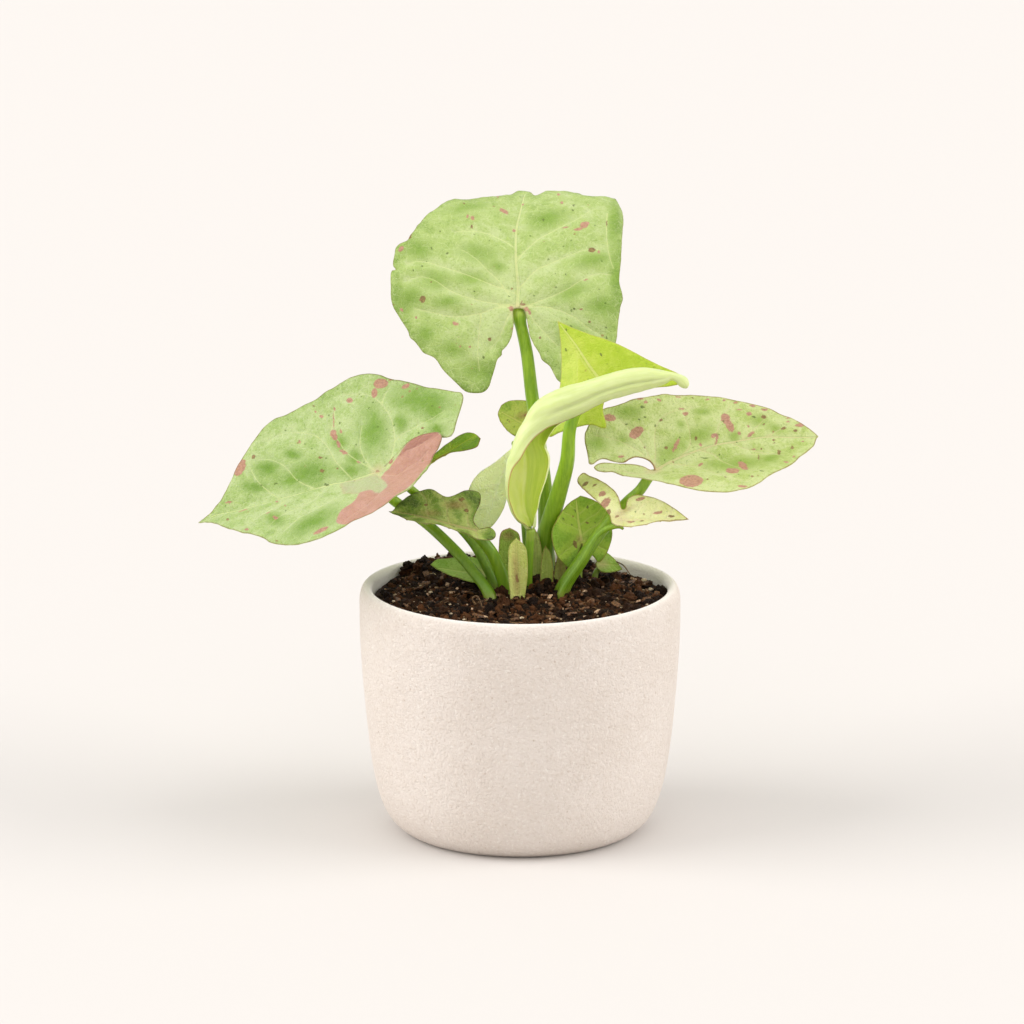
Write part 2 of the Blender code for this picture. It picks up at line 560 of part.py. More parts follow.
def build():
    clear_scene()
    plant = bpy.data.collections.new("Potted syngonium")
    cutters = bpy.data.collections.new("Cutters")
    bpy.context.scene.collection.children.link(plant)
    bpy.context.scene.collection.children.link(cutters)
    materials = {name: make_material(name) for name in MATERIALS}

    make_pot(materials["cream stoneware"], plant)
    soil = make_soil(materials["potting soil"], plant)
    for name, stem in STEMS.items():
        path, radii, _ = stem_rings(stem)
        make_rod(name, path, radii, materials["green stem"], plant)
        cut_hole(soil, "hole_for_" + name, stem, cutters)
    for name, leaf in LEAVES.items():
        make_leaf(name, leaf, materials[leaf["material"]], plant)
    make_rolled_leaf(materials["yellow green leaf"], plant)


build()
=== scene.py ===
"""Finish of the potted syngonium: fine blades, stems, soil and pot around its solids.

Lengths are millimetres and angles are degrees unless a name says otherwise. The origin is
the middle of the pot's base, +Z is up and -Y is the side the plant is mostly seen from.
"""
import math

import bmesh
import bpy
import numpy as np
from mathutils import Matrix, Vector, geometry, noise


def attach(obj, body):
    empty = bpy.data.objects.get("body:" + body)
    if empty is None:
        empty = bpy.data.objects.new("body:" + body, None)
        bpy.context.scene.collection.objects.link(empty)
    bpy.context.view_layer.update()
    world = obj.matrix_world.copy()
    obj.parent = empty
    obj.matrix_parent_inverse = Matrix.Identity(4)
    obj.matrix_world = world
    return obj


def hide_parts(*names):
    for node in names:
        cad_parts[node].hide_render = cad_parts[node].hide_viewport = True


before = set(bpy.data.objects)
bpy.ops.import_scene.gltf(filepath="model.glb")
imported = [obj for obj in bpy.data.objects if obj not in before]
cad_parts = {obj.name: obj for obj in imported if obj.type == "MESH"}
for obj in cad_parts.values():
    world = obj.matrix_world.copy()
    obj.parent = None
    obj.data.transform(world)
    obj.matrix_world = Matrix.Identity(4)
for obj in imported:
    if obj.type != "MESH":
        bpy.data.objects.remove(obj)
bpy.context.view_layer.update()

MM = 0.001
MM_PER_METRE = 1000
FAR = 99.0
IMAGE = 1024

# Camera and light. The camera looks along +Y, tilted down. Each sun is its name, the side
# it shines from, its height, its strength and its softness.
FOCAL_PIXELS = 4200
SENSOR_WIDTH = 36
CAMERA_AT = (-3.0, -1529.0, 452.2)
CAMERA_PITCH = 12.22
SUNS = [("left_light", -80, 30, 1.83, 46), ("right_light", 82, 30, 1.53, 46),
        ("top_light", -10, 66, 0.45, 50)]
SUN_COLOUR = (1.0, 0.99, 0.97)
WORLD_COLOUR = (1.0, 0.985, 0.965, 1)
WORLD_STRENGTH = 0.775
FLOOR_COLOUR = (217, 213, 210)
FLOOR_REACH_METRES = 30.0

# Pot. Each wall is a list of (radius, height) points, and the rim dips at the front.
POT_HEIGHT = 93.7
POT_RADIUS = 60.0
POT_MOUTH_RADIUS = 55.3
POT_CROWN_RADIUS = 57.5
POT_SHOULDER = 87.7
POT_LIP = 2.2
POT_OUTSIDE = [(0, 0), (25, 0), (41.2, 0), (42.9, 0.25), (45.1, 1.5), (49, 5), (51.7, 10),
               (53.7, 16), (55.2, 23), (56.4, 31), (57.4, 40), (58.3, 50), (59.1, 60),
               (59.8, 72), (60.05, 81)]
POT_INSIDE = [(55.2, 84), (55, 74), (54.4, 60), (53.2, 46), (51.2, 28), (48.2, 14),
              (44.5, 9.2), (38, 7), (0, 7)]
POT_AROUND = 224
RIM_DIP = 1.6
RIM_DIP_FROM = 80

# Soil. Each heap is (x, y, rise, spread). The two kinds of crumb are name, count, smallest
# and largest size, and rounds of division, and the chips are name, count, smallest size,
# how much larger they get and their two colours.
SOIL_LEVEL = 88.3
SOIL_GAP = 0.3
SOIL_HEAPS = [(4, 14, 5.0, 20), (-27, 37, 4.5, 13), (8, 6.5, 1.2, 5)]
SOIL_EDGE = 6.0
SOIL_REACH = POT_MOUTH_RADIUS - 0.6
SOIL_RINGS = 90
SOIL_AROUND = 220
CRUMBS = [("soil_crumbs", 5200, 0.3, 1.25, 1), ("soil_clods", 330, 1.1, 2.4, 3)]
BARK_CHIPS = ("bark_chips", 210, 0.5, 1.6, (48, 28, 14), (136, 92, 52))
PALE_CHIPS = ("pale_chips", 60, 0.35, 1.1, (150, 108, 72), (232, 198, 162))
RIM_CLUMPS = 90
FOOT_CLUMPS = 34
FOOT_CLUMPS_AT = (7, -8)
PERLITE_BITS = 130
FIBRES = 150
FIBRE_BENDS = 8
STRAW = [(36.5, 20, 97.5), (39, 18.5, 96.5), (41.5, 17, 93.5)]
CURL = [(-16.5, -23, 91), (-17.5, -23.5, 93.5), (-16, -24, 94.6), (-14.8, -24.5, 93),
        (-14, -25, 90.5)]

# Blades, stems and the rolled leaf
BLADE_THICKNESS = 0.8
SKIN_THICKNESS = 0.5
CREASE_WIDTH = 1.5
LAP_REACH = 9
LAP_SHIFT = 1.6
LAP_RISE = 1.5
STEM_GAP = 0.35
STEM_UNDER_BLADE = 3.6
STEM_BELOW_SOIL = 6
STEM_AROUND = 28
ROLL_AROUND = 56
ROLL_CREASE = 96
ROLL_TRUNK = (46, 96)
POUCH_END = 40
POUCH_RIDGE = 0.5

# One entry for each leaf and sheath. "at" is where the stem meets the blade, or where a
# sheath's foot stands, whose height is then measured from the soil. Heading, pitch and
# roll turn the flat leaf, whose x runs to the tip and whose y runs to its left side.
# "right" runs from the notch to the tip and "left" from the tip back to the notch.
# Arch bends the midrib down, lobe lifts the part behind the stem, fold and curl raise
# the (left, right) halves, and back adds fold behind the stem. Crease is where a line
# starts on the midrib, how it leans, and how far the left half turns down beyond it.
LEAVES = {
    "top_leaf": dict(
        slot="pale_green_leaf",
        at=(-0.5, 30, 192), heading=92, pitch=66, roll=0,
        length=80, width=46, arch=74, lobe=18, fold=(4, 4), curl=(-8, -16),
        right=[(1, 0), (0.4, -2), (-1.5, -2.7), (-4, -3.1), (-7, -3.6), (-9.5, -4), (-12, -5),
               (-14, -6), (-16.5, -7.5), (-19, -8.5), (-21.5, -11.5), (-24.5, -13), (-27, -14.5),
               (-29, -19), (-28.5, -24), (-25.5, -30), (-19, -34), (-12, -36.5),
               (-5.5, -37.5), (1.5, -38.5), (5, -39.5), (13, -38.5), (22.5, -39.5),
               (34.5, -40.5), (48.5, -42), (60.5, -42), (63, -41), (68.5, -40.5), (67, -38),
               (67.5, -35.5), (66, -32), (65, -29), (67, -26), (69, -23), (72, -19.5),
               (71, -16), (68.5, -13), (64.5, -10), (63, -8), (67, -7), (73.5, -6),
               (77.5, -4.5)],
        left=[(77.5, -4.5), (75.5, -2), (68.5, 1), (64.5, 4.5), (62.5, 7.5), (61, 10.5),
              (59.5, 14), (58.5, 17), (58.5, 20), (58.5, 23), (56.5, 25.5), (53.5, 28),
              (48, 31.5), (43.5, 35), (39, 37.5), (35.5, 39), (33, 40.5), (30.5, 41.5),
              (29.5, 43.5), (28.5, 45), (27, 46), (24, 46.5), (21, 47), (18.5, 47), (17, 46),
              (16.5, 47.5), (13, 48), (10, 48), (6, 48), (2.5, 47.5), (-0.5, 46), (-3, 44.5),
              (-5.5, 43), (-8, 41.5), (-10, 41), (-12, 39), (-14, 37.5), (-16, 36),
              (-17.5, 33), (-18.5, 31.5), (-21.5, 29.5), (-23.5, 28), (-26, 25.5),
              (-28.5, 23), (-30, 21.5), (-31, 20), (-31.5, 17), (-31, 13.5), (-29, 11.5),
              (-26, 10.5), (-23, 9.5), (-19.5, 8.5), (-18.5, 8), (-17, 6.5), (-15.5, 6.5),
              (-14, 5), (-12, 3.7), (-10, 2.8), (-7.5, 2.3), (-5.5, 2.0), (-3, 2.0),
              (-1, 2.2), (0.5, 2), (1, 0)]),
    "left_leaf": dict(
        slot="pale_green_leaf",
        at=(-53, 0, 136.5), heading=164, pitch=-16, roll=-30,
        length=76, width=44, arch=4, lobe=6, fold=(17, 19), curl=(-8, -10), teeth=0.03,
        right=[(-3, -1.5), (-8.5, -5.1), (-16.5, -9.3), (-23.5, -9.9), (-27.5, -8.5),
               (-30, -9.5), (-31.5, -13.5), (-32.5, -17), (-33.5, -21), (-34, -25),
               (-33.2, -27.2), (-30.5, -28.5), (-24.5, -31.5), (-18.5, -34), (-13.5, -37),
               (-8.5, -40), (-3, -43), (0.5, -45.5), (5.5, -47.5), (9, -48.5), (13, -48.5),
               (16.5, -47), (20, -45), (23, -44), (27, -41.5), (31.5, -40), (36, -38.5),
               (40.5, -37.5), (44.5, -37), (48.5, -34), (51, -30.5), (54, -26.5),
               (56, -23.5), (58, -20.5), (59.5, -17.5), (60.5, -14.5), (62, -11.5),
               (63.5, -8.5), (65.5, -5.5), (68, -3.5), (70, -1.5), (72.5, 0), (74.3, 3)],
        left=[(74.3, 3), (71, 4.5), (66.5, 8.5), (58, 17), (49.5, 25), (43, 30), (37.5, 35),
              (33.5, 40), (29.5, 43), (24.5, 45.5), (19.5, 47), (13.5, 47), (8.5, 45),
              (4, 42), (0, 39), (-5, 36.5), (-10, 33), (-14, 28), (-18, 23), (-20.5, 17),
              (-22.5, 9), (-22.5, -0.5), (-25, -3), (-26.3, -6), (-25.5, -8.6), (-23, -9.5),
              (-16.5, -8.9), (-8, -4.6), (-3, -1.5)]),
    "right_leaf": dict(
        slot="pale_green_leaf",
        at=(49.5, 2, 136.5), heading=18, pitch=6, roll=28,
        length=68, width=33, arch=2, lobe=4, fold=(20, 22), curl=(-6, -8), back=(0, 30),
        right=[(0.5, 0), (-1, 0.5), (-3, 2.2), (-7, 4), (-9.5, 4.8), (-11.5, 5.3), (-14.5, 6.2),
               (-17.5, 7), (-20, 6.8), (-21.6, 5.8), (-21, 4.4), (-18.5, 3), (-15.5, 2.5),
               (-13.5, 1), (-11, -1), (-8.5, -5), (-5.5, -10), (-2, -13), (1.5, -17),
               (4.5, -21.5), (8, -25.5), (12, -28.5), (15, -30), (18.5, -31), (22.5, -30.5),
               (26.5, -30), (30.5, -28), (34, -25.5), (37.5, -23), (43, -20), (49.5, -16),
               (54, -11.5), (58.5, -7.5), (63.5, -2.5), (66.5, 2), (67.8, 3.2)],
        left=[(67.8, 3.2), (65.5, 6.5), (63, 9.5), (60, 12.5), (56.5, 15), (53, 18),
              (49, 20), (44.5, 22.5), (40, 24.5), (37, 26), (31, 28), (25, 29.5), (19, 30.5),
              (14.5, 32), (11, 32), (6.5, 32), (2, 32), (-2.5, 31), (-6.5, 30.5), (-10, 30),
              (-15, 27), (-19.5, 22), (-20.5, 20.5), (-21.5, 17.5), (-22, 14), (-22.5, 10),
              (-23, 7.5), (-21.5, 7), (-19.5, 8), (-17, 8.5), (-14, 7), (-12, 6),
              (-9.5, 5.4), (-7.5, 6.1), (-5, 6.6), (-2, 5.6), (0, 4), (0.7, 1.6), (0.5, 0)]),
    "yellow_leaf": dict(
        slot="yellow_green_leaf",
        at=(31.5, 10, 167), heading=153, pitch=49, roll=-72,
        length=30, width=29, arch=6, lobe=6, fold=(9, 10), curl=(0, -6),
        crease=(17, 0.75, 24),
        right=[(-2.5, 0.5), (-6, -4.5), (-11, -13), (-16.5, -22.5), (-17, -25.5),
               (-15, -26), (-5.5, -21), (9.5, -13.5), (22, -5), (30.5, 0)],
        left=[(30.5, 0), (23, 4.5), (10, 15), (5, 23.5), (2, 28), (0, 29.5), (-2.5, 29),
              (-3.5, 25), (-6.5, 17), (-9, 12.5), (-13, 9), (-6.5, 5.5), (-2.5, 0.5)]),
    "drooping_leaf": dict(
        slot="yellow_green_leaf",
        at=(-3, 12, 143), heading=180, pitch=-70, roll=80,
        length=35, width=11, arch=6, lobe=0, fold=(6, 6), curl=(-20, -20),
        right=[(0, 0), (3, -1), (8.5, -2.5), (15.5, -4), (22, -5), (29.5, -3.5), (34.5, 0)],
        left=[(34.5, 0), (32.5, 5), (25.5, 9), (19.5, 10.5), (13.5, 9), (7.5, 4.5),
              (2.5, 1.5), (0, 0)]),
    "dark_leaf": dict(
        slot="dark_green_leaf",
        at=(-16.5, -9, 116), heading=162, pitch=14, roll=-26,
        length=34, width=12, arch=12, lobe=10, fold=(22, 24), curl=(-10, -10),
        right=[(-1, -1), (2.5, -4), (3, -12), (5, -16), (10, -15), (15.5, -10.5), (23, -12),
               (27.5, -9.5), (31.5, -4.5), (34.5, 1.5)],
        left=[(34.5, 1.5), (30, 3.6), (26, 5.6), (21.5, 6.5), (14.5, 6), (8, 5), (2.5, 5),
              (-3.5, 7), (-7.5, 4.5), (-7.5, -1.5), (-4.5, -3), (-1, -1)]),
    "folded_leaf": dict(
        slot="pink_splashed_leaf",
        at=(37, -9, 120), heading=-2, pitch=2, roll=0,
        length=26, width=9, arch=4, lobe=90, fold=(50, -20), curl=(-6, -6), back=(0, -30),
        right=[(-8, 25), (-8.5, 23), (-7.5, 15.5), (-5, 7), (-3.5, 2.5), (-3, -1.5),
               (0.5, -4), (9.5, -3), (15, -1), (21, 0), (25.5, 0.5)],
        left=[(25.5, 0.5), (20, 5), (14.5, 8.5), (9, 10.5), (5.5, 11), (3, 9), (2, 5),
              (1, 4.5), (-0.5, 11), (-3, 17), (-6, 23.5), (-7, 26), (-8, 25)]),
    "round_leaf": dict(
        slot="dark_green_leaf",
        at=(23, 7, 109), heading=112, pitch=78, roll=0,
        length=17, width=12, arch=20, lobe=10, fold=(12, 12), curl=(0, 0),
        right=[(-1.5, 0), (-4.5, -1), (-6.5, -4), (-9, -6), (-7, -8.5), (-1, -11.5),
               (3.5, -12), (10.5, -10.5), (14, -7), (16.5, -2)],
        left=[(16.5, -2), (14, 3.5), (9, 9), (3, 13), (-3, 12.5), (-7.5, 9.5), (-10.5, 5.5),
              (-6, 2.5), (-1.5, 0)]),
    "back_leaf": dict(
        slot="dark_green_leaf",
        at=(4.5, 44, 144.5), heading=150, pitch=22, roll=-40,
        length=15, width=8, arch=10, lobe=10, fold=(6, 6), curl=(0, 0),
        right=[(0, 0), (-1.5, -3.5), (2, -8), (7, -9), (11, -8), (15, -5.5), (16.5, -2.5)],
        left=[(16.5, -2.5), (15.5, 1), (13, 3.5), (8, 6), (3, 7), (-2, 5.5), (0, 0)]),
    "young_leaf": dict(
        slot="dark_green_leaf",
        at=(-43.5, 8, 131.5), heading=22, pitch=30, roll=20,
        length=33, width=6, arch=6, lobe=0, fold=(6, 6), curl=(-10, -10),
        right=[(-0.5, 0), (2, -2), (8, -2), (14, -0.5), (20, -1), (24.5, -4.5),
               (29.5, -6.5), (33, -3.5)],
        left=[(33, -3.5), (33, 1), (30.5, 4), (22, 4), (13, 2), (6.5, 1.5), (1.5, 1.5),
              (-0.5, 0)]),
    "low_left_leaf": dict(
        slot="dark_green_leaf",
        at=(-14.5, 6, 96), heading=166, pitch=6, roll=-34,
        length=20, width=6, arch=6, lobe=0, fold=(6, 6), curl=(0, 0),
        right=[(-2.5, 0.5), (-1, -4.5), (3.5, -7), (8.5, -7), (15, -5), (18.5, -4),
               (20.5, -1.5)],
        left=[(20.5, -1.5), (13.5, 2.5), (7.5, 4), (0.5, 5), (-2.5, 0.5)]),
    "low_right_leaf": dict(
        slot="dark_green_leaf",
        at=(30.5, 18, 97), heading=10, pitch=-4, roll=34,
        length=9, width=5, arch=4, lobe=0, fold=(6, 6), curl=(0, 0),
        teeth=0.0,
        right=[(-2, 0.5), (-1.6, -2.2), (0, -4.4), (4, -3.9), (8.2, -2.2)],
        left=[(8.2, -2.2), (7, 1), (4.2, 4.8), (1.5, 6.6), (0, 3.4), (-2, 0.5)]),
    "front_sheath": dict(
        slot="pale_sheath",
        on_soil=True, at=(-1, -13, 0.0), heading=92, pitch=86, roll=10,
        length=23, width=4, arch=8, lobe=0, fold=(14, 14), curl=(20, 20),
        right=[(0, -2.6), (4, -3.2), (9, -3.9), (15, -4), (20, -3.1), (23, 0)],
        left=[(23, 0), (20, 3.1), (15, 4), (9, 3.9), (4, 3.2), (0, 2.6), (0, -2.6)]),
    "green_sheath": dict(
        slot="dark_green_leaf",
        on_soil=True, at=(-4, 4.5, 0.8), heading=90, pitch=88, roll=-6,
        length=20, width=4.4, arch=6, lobe=0, fold=(8, 8), curl=(12, 12),
        right=[(0, -3.4), (5, -3.8), (10, -4.2), (15, -4.4), (18.5, -3.4), (20.5, 0)],
        left=[(20.5, 0), (19, 3), (15, 4), (10, 4), (5, 3.8), (0, 3.4), (0, -3.4)]),
    "wing_sheath": dict(
        slot="pale_sheath",
        on_soil=True, at=(6, 5.5, 0.3), heading=96, pitch=86, roll=16,
        length=19, width=2.2, arch=4, lobe=0, fold=(10, 10), curl=(20, 20),
        right=[(0, -2.4), (5, -2.5), (10, -2.3), (15, -1.5), (19, 0.3)],
        left=[(19, 0.3), (15, 1.6), (10, 2.3), (5, 2.5), (0, 2.4), (0, -2.4)]),
    "outer_sheath": dict(
        slot="pale_sheath",
        on_soil=True, at=(10, 2, 0.9), heading=90, pitch=84, roll=8,
        length=14, width=2.4, arch=4, lobe=0, fold=(10, 10), curl=(16, 16),
        right=[(0, -2.4), (4, -2.5), (8, -2.1), (11.5, -1.2), (14, 0.4)],
        left=[(14, 0.4), (11.5, 1.5), (8, 2.2), (4, 2.5), (0, 2.4), (0, -2.4)]),
    "inner_sheath": dict(
        slot="pale_sheath",
        on_soil=True, at=(15, 6.5, 0.4), heading=70, pitch=80, roll=0,
        length=12, width=2.2, arch=4, lobe=0, fold=(10, 10), curl=(16, 16),
        right=[(0, -2.2), (4, -2.2), (7, -1.9), (10, -1.1), (12.5, 0.2)],
        left=[(12.5, 0.2), (10, 1.3), (7, 1.9), (4, 2.2), (0, 2.2), (0, -2.2)]),
}

# One entry for each stem: its points down to the soil, and its radius at the top and at
# the soil. A stem that names a leaf starts just under that leaf's "at", and its gap
# allows for how its end slants against the blade.
STEMS = {
    "top_leaf_stem": dict(leaf="top_leaf", gap=0.5, flare=0.35, taper=0.0, radius=(2.1, 3.0),
                          points=[
        (2.5, 29.5, 176.5), (4.5, 27, 160.5), (7, 25, 143.5), (9.5, 23.5, 122.5),
        (10, 22.5, 97)]),
    "left_leaf_stem": dict(leaf="left_leaf", gap=0.35, radius=(1.9, 2.1), points=[
        (-48.5, 6, 125.5), (-42, 8, 120), (-35.5, 7, 115.5), (-27, 3, 108.5),
        (-19, -3, 101), (-11, -11, 91)]),
    "right_leaf_stem": dict(leaf="right_leaf", gap=-0.4, radius=(1.9, 2.7), points=[
        (44.5, 3, 128.5), (40, 4, 124), (30, 1.5, 113), (23, -1, 103), (15.5, -3, 91)]),
    "yellow_leaf_stem": dict(radius=(1.7, 3.8), points=[
        (30.5, 8, 166.5), (26, 4.5, 163), (21, 3, 159), (18.5, 3, 152), (17.5, 4.5, 139.5),
        (14.5, 7.5, 127), (12, 9.5, 118), (9.5, 11.5, 108), (8.5, 12.5, 95)]),
    "rolled_leaf_stem": dict(radius=(1.5, 1.9), points=[
        (4, -4, 115.5), (3.5, -3.5, 108.5), (3, -3, 99.5), (2.5, -2.5, 91.5)]),
    "drooping_leaf_stem": dict(radius=(1.0, 1.3), points=[
        (-2.5, 13, 144.5), (-0.5, 15, 143.5), (0.5, 16.5, 130.5), (2.5, 18, 118),
        (3.5, 19, 106), (4, 20.5, 96)]),
    "dark_leaf_stem": dict(leaf="dark_leaf", gap=0.05, radius=(2.0, 2.6), points=[
        (-12, -8, 109.5), (-8, -7.5, 102), (-5, -6.5, 91.5)]),
    "folded_leaf_stem": dict(leaf="folded_leaf", gap=0.65, radius=(1.0, 1.2), points=[
        (30, -7.5, 115), (23, -8.5, 104.5), (15, -9.5, 91.5)]),
    "round_leaf_stem": dict(leaf="round_leaf", gap=0.45, radius=(1.0, 1.3), points=[
        (22.5, 9.5, 101), (22, 9, 94)]),
    "back_leaf_stem": dict(leaf="back_leaf", radius=(1.0, 1.3), points=[
        (2.5, 40.5, 129), (1.5, 36, 116), (2, 32.5, 105), (3, 31, 95)]),
    "young_leaf_stem": dict(leaf="young_leaf", radius=(1.6, 1.9), points=[
        (-37.5, 11, 124.5), (-27.5, 9, 118), (-17.5, 5, 108), (-13, 2, 100.5),
        (-9, 0, 92)]),
    "low_left_leaf_stem": dict(leaf="low_left_leaf", radius=(1.0, 1.2), points=[
        (-12, 7, 92)]),
    "low_right_leaf_stem": dict(leaf="low_right_leaf", radius=(1.0, 1.2), points=[
        (28.5, 17, 93)]),
}

# The newest leaf, still rolled, in sections from its foot to its tip. Each is the middle
# (x, y, z), half its size across and front to back, and the angles where the sheet
# starts at the front and ends behind. Angle 0 is its upper side and 90 faces the front.
ROLLED_SECTIONS = [
    (4, -4, 116, 1.8, 1.8, 80, -258),
    (3.3, -4.5, 118.5, 2.9, 2.3, 60, -232),
    (1.6, -6, 124, 5.4, 3.8, 40, -208),
    (1.4, -7.5, 130, 6.6, 4.8, 34, -204),
    (2.2, -9, 136.5, 7.6, 5.3, 40, -202),
    (3.2, -10, 143, 7.8, 5, 60, -200),
    (3.4, -10.5, 149, 6, 5, 84, -196),
    (6.3, -10.5, 155.5, 5.5, 4.5, 114, -188),
    (11.5, -10.5, 161.5, 6, 4.5, 148, -172),
    (20.5, -10.5, 165.5, 6, 4.5, 164, -166),
    (29.5, -10.5, 169.3, 5, 4, 168, -166),
    (38, -10.5, 172, 4.8, 4, 170, -168),
    (46.5, -10, 173.4, 4.2, 3.5, 170, -168),
    (52.2, -10, 173.9, 2.9, 2.6, 170, -168),
    (55.8, -10, 174.3, 1.5, 1.5, 168, -168),
    (58, -10, 173.6, 1.6, 1.6, 168, -168),
    (59.8, -9.8, 172.2, 2.1, 1.9, 168, -168),
    (60.9, -9.6, 170.6, 1.5, 1.4, 168, -168),
    (61.2, -9.5, 169.8, 0.5, 0.5, 166, -166),
]

